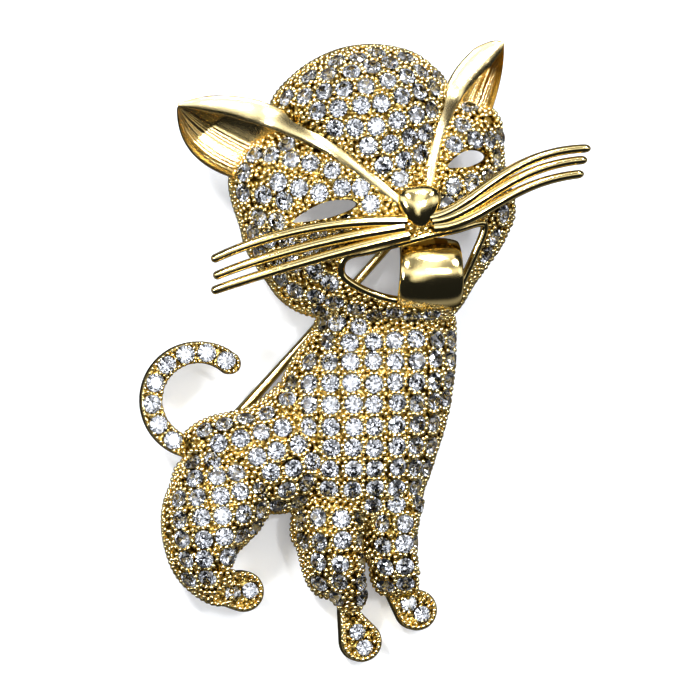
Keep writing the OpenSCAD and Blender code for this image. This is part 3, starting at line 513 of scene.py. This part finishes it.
def inset_on(forms, p):
    """How far inside the outline of the forms p is."""
    return max((1 - f.share(p)) * np.linalg.norm(p - f.crown) / max(1e-6, f.share(p)) for f in forms)


def laid(forms, rows, edge):
    """Lays the rows, then fills the holes that are left between them."""
    places, kept = [], np.full((1, 3), 1e3)

    def offer(p):
        nonlocal kept
        if inset_on(forms, p) < edge or not free(p, forms, stone_r):
            return
        q, out = seat_on(forms, p)
        if out[2] > 0.2 and np.linalg.norm(kept - q, axis=1).min() > stones_apart:
            places.append((q, out))
            kept = np.vstack([kept, q])

    for form, pitch, between, right, left, shift, start in rows:
        for way in (90, -90):
            p = form.crown + start
            for j in range(12):
                if j or way == 90:
                    q = stepped([form], p, right, pitch * shift * (j % 2)) if shift * (j % 2) else p
                    for bearing in (right, left):
                        r = q
                        for _ in range(14):
                            if form.share(r) < 1 and form.height(r) > top_of(forms, r) - 0.05:
                                offer(r + [chance.uniform(-wander, wander) for _ in (0, 1)])
                            r = stepped([form], r, bearing, pitch)
                            if form.share(r) >= 1:
                                break
                p = stepped([form], p, (right + left - 180) / 2 + way, between)
                if form.share(p) >= 1:
                    break
    i = 0
    while i < len(places):
        at, out = places[i]
        base = turned(out)
        for pitch in (1.52, 1.62, 1.75, 1.9):
            for bearing in range(0, 360, 20):
                c, s = along(bearing)
                offer((at + pitch * (c * base[:, 0] + s * base[:, 1]))[:2])
        i += 1
    return places


stone_inset = 0.45
head_places = laid(HEAD, HEAD_ROWS, stone_inset)
body_places = laid(BODY, BODY_ROWS, stone_inset)


def lathed(profile, sides, places):
    """Turned solids, one at each place: profile holds radius and height, from the foot up."""
    points, faces = [], []
    ring = [along(360 * k / sides) for k in range(sides)]
    local = np.array([(r * c[0], r * c[1], z) for r, z in profile for c in ring])
    one = shell_faces(sides, len(profile))
    for at, out in places:
        base = len(points)
        points.extend(at + local @ turned(out).T)
        faces.extend(tuple(base + i for i in f) for f in one)
    return points, faces


def carved(target, tool, how="DIFFERENCE"):
    """Joins the tool to the target or cuts it away, and removes the tool."""
    cut = target.modifiers.new("cut", "BOOLEAN")
    cut.operation, cut.solver, cut.object = how, "MANIFOLD", tool
    bpy.context.view_layer.update()
    made = bpy.data.meshes.new_from_object(target.evaluated_get(bpy.context.evaluated_depsgraph_get()))
    target.modifiers.clear()
    target.data = made
    bpy.data.objects.remove(tool)
    return target


def cutter(outline, low):
    """An upright tool of the given outline that reaches above the whole brooch."""
    return mesh_object("cutter", *prism(outline, low, 20), smooth=0)


# The domes are joined and hollowed from the back, with a square post left for each fitting
casting = inside = None
for form in HEAD + BODY:
    solid = mesh_object("form", *form.solid(), smooth=0)
    casting = carved(casting, solid, "UNION") if casting else solid
    hollow = mesh_object("hollow", *form.solid(inset=wall, foot=-1, thinner=wall), smooth=0)
    inside = carved(inside, hollow, "UNION") if inside else hollow
pin_bearing, post_half, post_half_w = 48.2314, 1.3, 1.14
rivet_at, catch_at = np.array((-11.78, -7.5128)), np.array((5.56083, 11.9032))
for at in (rivet_at, catch_at):
    inside = carved(inside, cutter([
        at + x * post_half * along(pin_bearing) + y * post_half_w * along(pin_bearing + 90)
        for x, y in ((-1, -1), (1, -1), (1, 1), (-1, 1))], -2))
casting = carved(casting, inside)
for outline in OPENINGS:
    casting = carved(casting, cutter(outline, 0))
NOTCHES = [  # between the toes: inner end, bearing outwards
    (left_leg_at + (-0.37 * left_leg_w, -0.13 * left_leg_h), 205),
    (left_leg_at + (-0.07 * left_leg_w, -0.38 * left_leg_h), 262),
    (right_leg_at + (-0.37 * right_leg_w, -0.18 * right_leg_h), 215),
    (right_leg_at + (-0.02 * right_leg_w, -0.42 * right_leg_h), 262),
]
notch_long, notch_half = 1.3, 0.5
for at, bearing in NOTCHES:
    at = at - middle
    mouth = at + notch_long * along(bearing)
    casting = carved(casting, cutter(
        [at, mouth + notch_half * along(bearing - 90), mouth + notch_half * along(bearing + 90)], 0))


paw_n = 72  # points round a paw


def teardrop(at, bearing, reach, inset):
    """Outline of a paw's cup: two round ends joined by straight sides."""
    ends = [(at, paw_r - inset), (at + reach * along(bearing), max(0.12, paw_tip_r - inset))]
    pts = []
    for k in range(paw_n):
        u = along(360 * k / paw_n)
        c, r = max(ends, key=lambda e: e[0] @ u + e[1])
        pts.append(c + r * u)
    return pts


# The haunch is cut back over the hind paw, so that the whole cup shows
hind_at, hind_bearing, hind_reach, hind_high = PAWS[0]
casting = carved(casting, cutter(teardrop(hind_at, hind_bearing, hind_reach, -0.03), hind_high - 0.6))


# The seats are drilled last: radius and height of the drill, from the metal under a stone
DRILL = [(0.2, -0.48), (0.64, -0.06), (0.68, 0.0), (0.68, 0.9)]


def drilled(target, places):
    return carved(target, mesh_object("drills", *lathed(DRILL, 16, places), smooth=0))


casting = drilled(casting, head_places + body_places)


def gold(name, colour, deep, roughness, worn, grain, edge=(1, 0.86, 0.55)):
    """Gold plate: warm and even, with faint clouding and hairline scratches from polishing."""
    f = Finish(name)
    cloud, hair = f.noise(1.8, 3), f.noise(0.12, 2, (1, 4, 1))
    return f.surface(
        Base_Color=f.blend(cloud, (*deep, 1), (*colour, 1)), Metallic=1.0,
        Roughness=cloud * worn + hair * (worn * 0.5) + roughness, Specular_Tint=(*edge, 1),
        Normal=f.bump(hair + cloud * 0.6, grain),
    )


polished_gold = gold("polished_gold", (0.93, 0.77, 0.4), (0.87, 0.7, 0.32), 0.07, 0.06, 0.004)
# The grains' gold is paler than the casting's: a painted highlight
highlit_bead_gold = gold("highlit_bead_gold", (1, 0.86, 0.5), (0.93, 0.75, 0.34), 0.13, 0.08, 0.01)
# The metal between the stones is cut up with a graver into humps; its colour holds painted shade and
# painted highlight
f = Finish("shaded_pit_gold")
hump_size = 0.36
cells = f.node("ShaderNodeTexVoronoi", {"feature": "SMOOTH_F1"}, {
    "Vector": f.place, "Scale": 1 / (hump_size * MM)})
hump = 1 - cells * 1.7
shaded_pit_gold = f.surface(
    # Painted shade and highlight: near black in the cuts, pale on the hump tops, and darker overall than
    # the other gold, as shade between the stones
    Base_Color=f.node("ShaderNodeValToRGB", {"stops": [
        (0.15, (0.09, 0.055, 0.01)), (0.5, (0.66, 0.48, 0.15)), (0.85, (1, 0.84, 0.42)),
    ]}, {0: hump}),
    Metallic=1.0, Roughness=0.2 + 0.15 * f.noise(0.6), Specular_Tint=(0.8, 0.6, 0.25, 1),
    Normal=f.bump(hump, 0.14),
)
satin_gold = gold("satin_gold", (0.84, 0.65, 0.27), (0.7, 0.5, 0.17), 0.3, 0.1, 0.02, (0.8, 0.55, 0.2))

mesh = casting.data
mesh.materials.clear()
for m in (polished_gold, shaded_pit_gold, satin_gold):
    mesh.materials.append(m)
centres = np.array([f.center for f in mesh.polygons]) / MM
normals = np.array([f.normal for f in mesh.polygons])
depth = top_of(HEAD + BODY, centres[:, :2]) - centres[:, 2]
edge = np.min([f.share(centres[:, :2]) for f in HEAD + BODY], axis=0)
# The metal near the top, between and under the stones, gets the darker pit gold: painted shade
near_top = (depth > -0.1) & (depth < 0.62) & (edge < 0.99)
outer_wall = (np.abs(normals[:, 2]) < 0.35) & (edge > 0.97)
kind = np.where(near_top, 1, np.where(outer_wall, 0, 2))  # as the three finishes are appended
mesh.polygons.foreach_set("material_index", kind.astype(np.int32))
mesh.shade_smooth()
mesh.set_sharp_from_angle(angle=math.radians(38))
casting.name = "cast_body"
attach(casting, "brooch")
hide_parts("cat_frame")


# Stones
# Round brilliants in clear glassy stone, each let into its drilled seat. The crown has a
# table, eight stars, eight kites and sixteen girdle facets over a full pavilion.
def piece(name, points, faces, *finishes, smooth=40, slot="gold", body="brooch"):
    made = mesh_object(name, points, faces, *finishes, smooth=smooth)
    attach(made, body)
    return made


def brilliant():
    """Corners and facets of a stone of radius 1."""
    table_r, crown_h, belt, deep = 0.53, 0.36, 0.03, 0.84
    points = [(*(table_r * along(45 * k)), crown_h) for k in range(8)]
    star = 0.77
    star_z = crown_h - (crown_h - belt) * (star * math.cos(math.pi / 8) - table_r) / (1 - table_r)
    points += [(*(star * along(45 * k + 22.5)), star_z) for k in range(8)]
    points += [(*along(22.5 * k), belt) for k in range(16)]
    points += [(*along(22.5 * k), -belt) for k in range(16)]
    half = 0.24
    half_z = -deep + (deep - belt) * half * math.cos(math.pi / 8)
    points += [(*(half * along(45 * k + 22.5)), half_z) for k in range(8)] + [(0, 0, -deep)]
    T, S, G, L, H, C = 0, 8, 16, 32, 48, 56
    faces = [tuple(range(8))]
    for k in range(8):
        n, g, m, g2 = (k + 1) % 8, 2 * k, 2 * k + 1, (2 * k + 2) % 16
        faces += [(T + k, S + k, T + n), (T + n, S + k, G + g2), (T + k, G + g, S + k),
                  (S + k, G + g, G + m), (S + k, G + m, G + g2),
                  (H + k, L + m, L + g), (H + k, L + g2, L + m), (C, H + k, L + g), (C, L + g2, H + k),
                  (G + g, L + g, L + m, G + m), (G + m, L + m, L + g2, G + g2)]
    return np.array(points), faces


CUT, CUT_FACES = brilliant()
stone_lift, stone_tilt = 0.17, 0.09


def brilliants(name, places, radius, *nodes):
    points, faces = [], []
    for at, out in places:
        tip = np.array([*(chance.uniform(-stone_tilt, stone_tilt) for _ in (0, 1)), 0])
        out = out + turned(out) @ tip
        out = out / np.linalg.norm(out)
        spin = along(chance.uniform(0, 45))
        local = CUT * radius
        local = np.stack([local[:, 0] * spin[0] - local[:, 1] * spin[1],
                          local[:, 0] * spin[1] + local[:, 1] * spin[0], local[:, 2]], 1)
        base = len(points)
        points.extend(at + stone_lift * out + local @ turned(out).T)
        faces.extend(tuple(base + i for i in f) for f in CUT_FACES)
    made = piece(name, points, faces, clear_stone, smooth=0, slot="clear_stone")
    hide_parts(*nodes)


def stone_at(node):
    """Where in the plan the foot of a node's one stone is."""
    points = np.array([v.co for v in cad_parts[node].data.vertices]) / MM
    keys = np.unique(np.round(points, 3), axis=0)
    far = np.linalg.norm(keys - keys.mean(0), axis=1)
    return keys[far >= np.median(far)].mean(0)[:2]


f = Finish("clear_stone")
clear_stone = f.surface(
    Base_Color=f.blend(f.noise(2.2), (0.84, 0.88, 0.97, 1), (0.93, 0.95, 1, 1)),
    Roughness=f.noise(0.5) * 0.02, Transmission_Weight=1.0, IOR=2.15,
)
brilliants("head_brilliants", head_places, stone_r, "head_stones")
brilliants("body_brilliants", body_places, stone_r, "body_stones")
up = np.array((0, 0, 1.0))
paw_stone_r, paw_seat_drop = 0.66, 0.2
tail_names = [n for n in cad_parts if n.startswith("tail_stone")]
tail_places = [(np.array((*stone_at(n), tail_z + tail_top)), up) for n in tail_names]
brilliants("tail_brilliants", tail_places, stone_r, *tail_names)
paw_names = sorted(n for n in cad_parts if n.startswith("paw_stone"))
paw_places = []
for n in paw_names:
    high = PAWS[(int(n[-1]) - 1) // 2][3]  # two stones in each paw
    paw_places.append((np.array((*stone_at(n), high - paw_seat_drop)), up))
brilliants("paw_brilliants", paw_places, paw_stone_r, *paw_names)


# Grains
# Small round beads raised from the metal with a graver and pushed over the edges of the
# stones. They fill whatever metal the stones leave, in lines between the rows.
grain_r, rim_pitch = 0.23, 0.42
BEAD = [  # radius and height, as shares of the grain's radius
    (0.6, -0.7), (1, -0.1), (0.86, 0.5), (0.5, 0.86), (0.16, 0.98)]


def grains(forms, places, pitch):
    """Places for a ring of grains round each stone, then for rows on the rims, then for the rest."""
    stones = kdtree.KDTree(len(places))
    for i, (at, _) in enumerate(places):
        stones.insert(at, i)
    stones.balance()
    taken, found = {}, []

    def offer(p, apart):
        if min(f.share(p) for f in forms) > 0.998 or not free(p, forms, grain_r * 0.5):
            return
        q, out = seat_on(forms, p)
        if out[2] < 0.1 or stones.find(q)[2] < stone_r + 0.04:
            return
        cell = tuple(np.floor(q / 0.5).astype(int))
        near = [
            taken.get((cell[0] + x, cell[1] + y, cell[2] + z), ())
            for x in (-1, 0, 1) for y in (-1, 0, 1) for z in (-1, 0, 1)]
        if any(np.linalg.norm(other - q) < apart for group in near for other in group):
            return
        taken.setdefault(cell, []).append(q)
        found.append((q, out))
    for at, out in places:
        base = turned(out)
        start = chance.uniform(0, 30)
        for k in range(13):
            c, s = along(start + 27.7 * k)
            offer((at + (stone_r + 0.12) * (c * base[:, 0] + s * base[:, 1]))[:2], 0.4)
    for form in forms:
        others = [f for f in HEAD + BODY if f is not form]
        last = None
        for k in range(1440):
            way = along(k / 4)
            reach = np.interp(k * math.pi / 720, form.angles, form.reach, period=2 * math.pi)
            p = form.crown + reach * way
            if min(f.share(p) for f in others) < 1.01:
                continue
            if last is not None and np.linalg.norm(p - last) < rim_pitch:
                continue
            last = p
            for row in range(3 if forms is HEAD else 1 if form.foot < 2 else 2):  # one on the legs
                slip = 0.22 * (row % 2) * np.array((-way[1], way[0]))
                at = np.array((*(p - 0.1 * way + slip), form.start - 0.02 - 0.4 * row))
                found.append((at, np.array((*(0.9 * way), 0.44))))
    low = np.min([f.crown - f.reach.max() for f in forms], axis=0)
    high = np.max([f.crown + f.reach.max() for f in forms], axis=0)
    spots = [
        (x, y) for x in np.arange(low[0], high[0], pitch) for y in np.arange(low[1], high[1], pitch)]
    chance.shuffle(spots)
    for x, y in spots:
        offer(np.array((x, y)), 0.37)
    return found


def beads(name, places, radius=grain_r, lift=0.15):
    at = [(p + lift * out, out) for p, out in places]
    piece(name, *lathed([(r * radius, z * radius) for r, z in BEAD], 8, at), highlit_bead_gold, smooth=80)


search = 0.17
head_grains = grains(HEAD, head_places, search)
body_grains = grains(BODY, body_places, search)
beads("head_grains", head_grains)
beads("body_grains", body_grains)


# Ears
# Two dished leaves at the ends of the brow bands. The dish is drawn with long grooves that
# run from its root to its tip, and its outer edge is left thick and polished.
def leaf(k):
    """A grid between a band and the leaf's outer edge: s from root to tip, v from band to edge."""
    band = band_guides(k)
    _, _, foot, width, bulge = EARS[k]
    tip = EAR_TIPS[k]
    side = [foot, tip + width * ear_w * along(bulge), tip]
    rows, columns = 60, 90
    top = []
    for i in range(rows + 1):
        s = i / rows
        inner, outer = arc(band, 0.42 + 0.575 * s), arc(side, -0.12 + 1.1 * s)
        for j in range(columns + 1):
            v = j / columns
            dish = 1 - ((v - 0.6) / (0.6 if v < 0.6 else 0.4)) ** 2
            groove = 0.5 + 0.5 * math.sin(v * 95 + 2.2 * math.sin(v * 23) + 0.9 * math.sin(3 * s + v * 9))
            fade = min(1, max(0, (v - 0.36) * 5)) * min(1, (1 - v) * 14) * min(1, (1 - s) * 6)
            lip = 0.1 * math.exp(-((v - 0.97) / 0.03) ** 2) - 0.25 * max(0, v - 0.985) / 0.015
            z = ear_z - dish_deep * dish * min(1, 3 * (1 - s)) - groove_deep * groove * fade + lip
            top.append((*(inner + (outer - inner) * v), z))
    n, m = columns + 1, len(top)
    faces = []
    for i in range(rows):
        for j in range(columns):
            quad = (i * n + j, i * n + j + 1, (i + 1) * n + j + 1, (i + 1) * n + j)
            quad = quad[::-1] if k else quad  # one ear is cut as the mirror of the other
            faces += [quad, tuple(q + m for q in quad[::-1])]
    for row in ([i * n + columns for i in range(rows + 1)], [i * n for i in range(rows, -1, -1)]):
        for a, b in zip(row, row[1:]):
            faces.append((b, a, a + m, b + m) if k else (b + m, a + m, a, b))
    return top + [(x, y, z - leaf_t) for x, y, z in top], faces


dish_deep, groove_deep, leaf_t = 1.25, 0.05, 0.63
ear_gold = gold("ear_gold", (0.88, 0.72, 0.38), (0.78, 0.6, 0.27), 0.1, 0.08, 0.01)
for k, name in enumerate(("left_ear", "right_ear")):
    piece(name, *leaf(k), ear_gold, smooth=50)


# Brow bands
# Two flat polished ribbons from the nose over the brows to the ear tips, soldered down on
# the casting, with a bevel along each edge.
def swept(path, profile_at, closed=False):
    """A section moved along a path: profile_at gives its points, across and up, at a share of it."""
    n = len(path)
    points = []
    for i in range(n):
        a = path[(i - 1) % n] if closed else path[max(i - 1, 0)]
        b = path[(i + 1) % n] if closed else path[min(i + 1, n - 1)]
        t = (b - a) / np.linalg.norm(b - a)
        side = np.cross((0, 0, 1), t)
        side /= np.linalg.norm(side)
        section = profile_at(i / (n if closed else n - 1))
        points += [path[i] + x * side + z * np.cross(t, side) for x, z in section]
    return points, shell_faces(len(section), n, closed)


band_gold = gold("band_gold", (0.88, 0.74, 0.43), (0.82, 0.67, 0.35), 0.2, 0.06, 0.006)
for k, name in enumerate(("left_brow_band", "right_brow_band")):
    flat = [arc(band_guides(k), t) for t in np.linspace(0, 1, 90)]
    heights = np.array([max(float(top_of(HEAD, p)) + 0.12, ear_z) for p in flat])
    for _ in range(12):  # hollows are bridged
        heights[1:-1] = np.maximum(heights[1:-1], (heights[:-2] + heights[2:]) / 2)
    for _ in range(40):  # and the whole is smoothed
        heights[1:-1] = (heights[:-2] + 2 * heights[1:-1] + heights[2:]) / 4
    path = [np.array((*p, z)) for p, z in zip(flat, heights)]
    shares, widths = zip(*BAND_WIDTHS[k])

    def ribbon(s, shares=shares, widths=widths):
        w = float(np.interp(s, shares, widths))
        return [(w * x, min(1, w) * z) for x, z in (
            (0.5, -0.35), (0.5, 0.04), (0.45, 0.12), (0.3, 0.19), (0.1, 0.23), (-0.1, 0.23),
            (-0.3, 0.19), (-0.45, 0.12), (-0.5, 0.04), (-0.5, -0.35))]
    piece(name, *swept(path, ribbon), band_gold, smooth=32)


# Nose
# A small polished shield with a full, rounded face, soldered on the muzzle where the bands
# and the whiskers meet.
NOSE = [
    (0.08, -1.05), (0.5, -0.85), (0.85, -0.4), (1.03, 0.15), (1, 0.6), (0.78, 0.92), (0.32, 1.04),
    (-0.2, 1.02), (-0.68, 0.9), (-0.97, 0.62), (-1.02, 0.15), (-0.82, -0.42), (-0.42, -0.86),
]
nose_half_w, nose_half_h = 1.66, 1.62
shield = rounded(NOSE, 6)
levels = [(-0.3, 0.85), (-0.05, 1)] + [  # height and share of the outline
    (-0.05 + 0.3 * h, (1 - h ** 2) ** 0.5) for h in np.sin(np.linspace(0.1, 1.53, 18))]
points = [
    (*(nose_at + share * q * (nose_half_w, nose_half_h)), nose_z + 0.1 + h * nose_w)
    for h, share in levels for q in shield]
piece("nose", points, shell_faces(len(shield), len(levels)), polished_gold, smooth=60)


# Whiskers
# Three round wires on each side, soldered together behind the nose and bent outwards, each
# with a rounded end.
def wire(radii):
    """Section of a round wire whose radius changes along it."""
    ring = [along(18 * k) for k in range(20)]
    return lambda s: [(float(radii(s)) * c[0], float(radii(s)) * c[1]) for c in ring]


end_long, end_r = 0.4, 0.36
for i, guides in enumerate(WHISKERS):
    length = sum(np.linalg.norm(arc(guides, (t + 1) / 40) - arc(guides, t / 40)) for t in range(40))
    end = end_long / length
    shares = np.concatenate([
        np.linspace(0, 1 - end, 60), 1 - end * (1 - np.sin(np.linspace(0.2, math.pi / 2, 7)))])
    path = [arc(guides, t) for t in shares]

    def radius(s, shares=shares, length=length):
        t = shares[int(round(s * (len(shares) - 1)))]
        r = np.interp(t, (0, 0.4, 1), (0.5, 0.43, 0.35))
        left = (1 - t) * length
        return r * math.sqrt(max(0.002, 1 - (1 - min(1, left / end_r)) ** 2))
    side = "left" if i < 3 else "right"
    piece(f"{side}_whisker_{i % 3 + 1}", *swept(path, wire(radius)), polished_gold, smooth=60)


# Lip
# A frame of polished round wire, gold plated like the rest, that follows the mouth opening
# and is soldered to the edge of the casting.
lip_r = 0.34
path = [np.array((*p, float(top_of(HEAD, p)) - 0.02)) for p in mouth_edge[::-1]]
piece("lip", *swept(path, wire(lambda s: lip_r), closed=True), polished_gold, smooth=60)


# Tongue
# A strip bent into a hoop that leaves the muzzle and comes down on the lower lip, crowned
# across its width and mirror polished.
tongue_w, tongue_r, tongue_t = 5, 2.85, 0.8
tongue_at = np.array((0.184 * face_w, -0.267 * face_h)) - middle
hoop_z = float(face.height(tongue_at)) - tongue_r + 0.9
section_n, steps_n = 28, 64
points = []
for a in np.linspace(15, 195, steps_n):  # from the lower lip over the top to the muzzle
    c = along(a)
    spread = 1 + 0.05 * math.sin(math.radians(a - 60))
    for k in range(section_n):
        u = along(360 * k / section_n)
        x = math.copysign(abs(u[0]) ** 0.42, u[0]) * tongue_w / 2 * spread
        thick = math.copysign(abs(u[1]) ** 0.62, u[1]) * tongue_t / 2
        r = tongue_r - tongue_t / 2 + thick - 0.03 * x * x * (1 if u[1] > 0 else 0.6) + 0.1
        points.append((tongue_at[0] + x, tongue_at[1] + r * c[0], hoop_z + r * c[1]))
piece("tongue", points, shell_faces(section_n, steps_n), polished_gold, smooth=60)


# Paws
# Teardrop cups cast with the legs, each with a beaded rim round two stones that stand in
# drilled seats.
def evenly(pts, pitch):
    """Places round a closed outline, as near to the pitch apart as an even count allows."""
    pts = np.array(pts)
    legs = np.linalg.norm(np.roll(pts, -1, 0) - pts, axis=1)
    total = legs.sum()
    n = int(round(total / pitch))
    reached = np.concatenate([[0], np.cumsum(legs)])
    loop = np.vstack([pts, pts[:1]])
    return [np.array([np.interp(total * k / n, reached, loop[:, j]) for j in (0, 1)]) for k in range(n)]


bead_pitch, rim_inset = 0.42, 0.25
for (at, bearing, reach, high), name in zip(PAWS, ("hind_paw", "left_paw", "right_paw")):
    rings = [  # inset from the outline, and height
        (0.25, 0.0), (0.06, 0.1), (0, 0.3), (0, high - 0.3), (0.04, high - 0.14), (0.12, high - 0.08),
        (0.38, high - 0.08), (0.44, high - 0.16), (0.47, high - 0.34), (0.8, high - 0.36),
    ]
    points = [(*p, z) for inset, z in rings for p in teardrop(at, bearing, reach, inset)]
    cup = piece(name, points, shell_faces(paw_n, len(rings)), polished_gold, shaded_pit_gold, smooth=45)
    held = [q for q in paw_places if np.linalg.norm(q[0][:2] - at) < 2]
    drilled(cup, held)
    # The floor of each cup gets the darker pit gold: painted shade in the cup round its stones
    for f in cup.data.polygons:
        if high - 0.7 < f.center.z / MM < high - 0.3 and f.normal.z > 0.8:
            f.material_index = 1
    rim = evenly(teardrop(at, bearing, reach, rim_inset), bead_pitch)
    beads(name + "_rim", [(np.array((*p, high - 0.04)), up) for p in rim], 0.22, 0.06)
    inner = []
    for inset in (0.6, 1.0):
        for p in evenly(teardrop(at, bearing, reach, inset), 0.36):
            q = np.array((*p, high - 0.34))
            clear = min(np.linalg.norm(p - h[:2]) for h, _ in held) > 0.72
            if clear and all(np.linalg.norm(q - o) > 0.4 for o, _ in inner):
                inner.append((q, up))
    if inner:
        beads(name + "_grains", inner, 0.21, 0.14)


# Tail
# A bar with a rounded back, bent to a curl and run into the loin, with one row of stones
# between two lines of grains.
half_w = tail_w / 2
section = [  # across the bar and up, round from the left foot
    (-half_w, 0.25), (-0.8, 0.05), (-0.6, 0), (0.6, 0), (0.8, 0.05), (half_w, 0.25), (half_w, 1.5),
    (0.84, 1.68), (0.72, 1.78), (0.5, tail_top), (-0.5, tail_top), (-0.72, 1.78), (-0.84, 1.68),
    (-half_w, 1.5),
]
bends = np.linspace(tail_end + 14, tail_end - tail_turn, 90)
hub = np.array((*tail_at, tail_z))
path = [hub + tail_r * np.array((*along(a), 0)) for a in bends]
last = path[-1]
ahead = (last - path[-2]) / np.linalg.norm(last - path[-2])
spread = [1.0] * len(path)
for a in np.linspace(8, 88, 10):  # the rounded end
    path.append(last + half_w * math.sin(math.radians(a)) * ahead)
    spread.append(math.cos(math.radians(a)))
points = []
for i, p in enumerate(path):
    out = p - hub if i < len(bends) else last - hub
    out = out / np.linalg.norm(out)
    points += [p - spread[i] * x * out + z * up for x, z in section]
bar = piece("tail", points, shell_faces(len(section), len(path)), polished_gold, shaded_pit_gold, smooth=40)
drilled(bar, tail_places)
# The top of the bar gets the darker pit gold: painted shade between its stones
for f in bar.data.polygons:
    if f.normal.z > 0.8:
        f.material_index = 1


def on_tail(p):
    return np.array((*p, tail_z + tail_top - 0.02)), up


edge_beads, edge_turn = [], tail_turn + 4
for side in (-0.7, 0.7):
    r = tail_r + side
    count = int(math.radians(edge_turn) * r / bead_pitch)
    edge_beads += [
        on_tail(tail_at + r * along(tail_end + 4 - edge_turn * k / count)) for k in range(count + 1)]
edge_beads += [
    on_tail(last[:2] + 0.66 * along(tail_end - tail_turn - 90 + a)) for a in (-60, -25, 25, 60)]
row = [p[:2] for p, _ in tail_places]
for a in np.arange(tail_end - tail_turn - 2, tail_end + 4, 1.5):
    for side in (0, -0.36, 0.36):
        q = tail_at + (tail_r + side) * along(a)
        clear = min(np.linalg.norm(q - s) for s in row) > 0.82
        if clear and all(np.linalg.norm(q - o[:2]) > 0.37 for o, _ in edge_beads):
            edge_beads.append(on_tail(q))
kept = [b for b in edge_beads if min(np.linalg.norm(b[0][:2] - s) for s in row) > 0.72]
beads("tail_grains", kept, 0.2, 0.08)


# Pin, hinge and catch
# Plain brass fittings on the back, gold plated: the hinge and the catch satin, the pin and its
# rivet polished. The pin turns behind the loin and lies in a slotted catch behind the nose.
FITTINGS = [
    ("pin_hinge", satin_gold), ("pin_catch", satin_gold),
    ("pin_rivet", polished_gold), ("pin_stem", polished_gold),
]
for name, finish in FITTINGS:
    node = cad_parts[name]
    node.data.materials.clear()
    node.data.materials.append(finish)
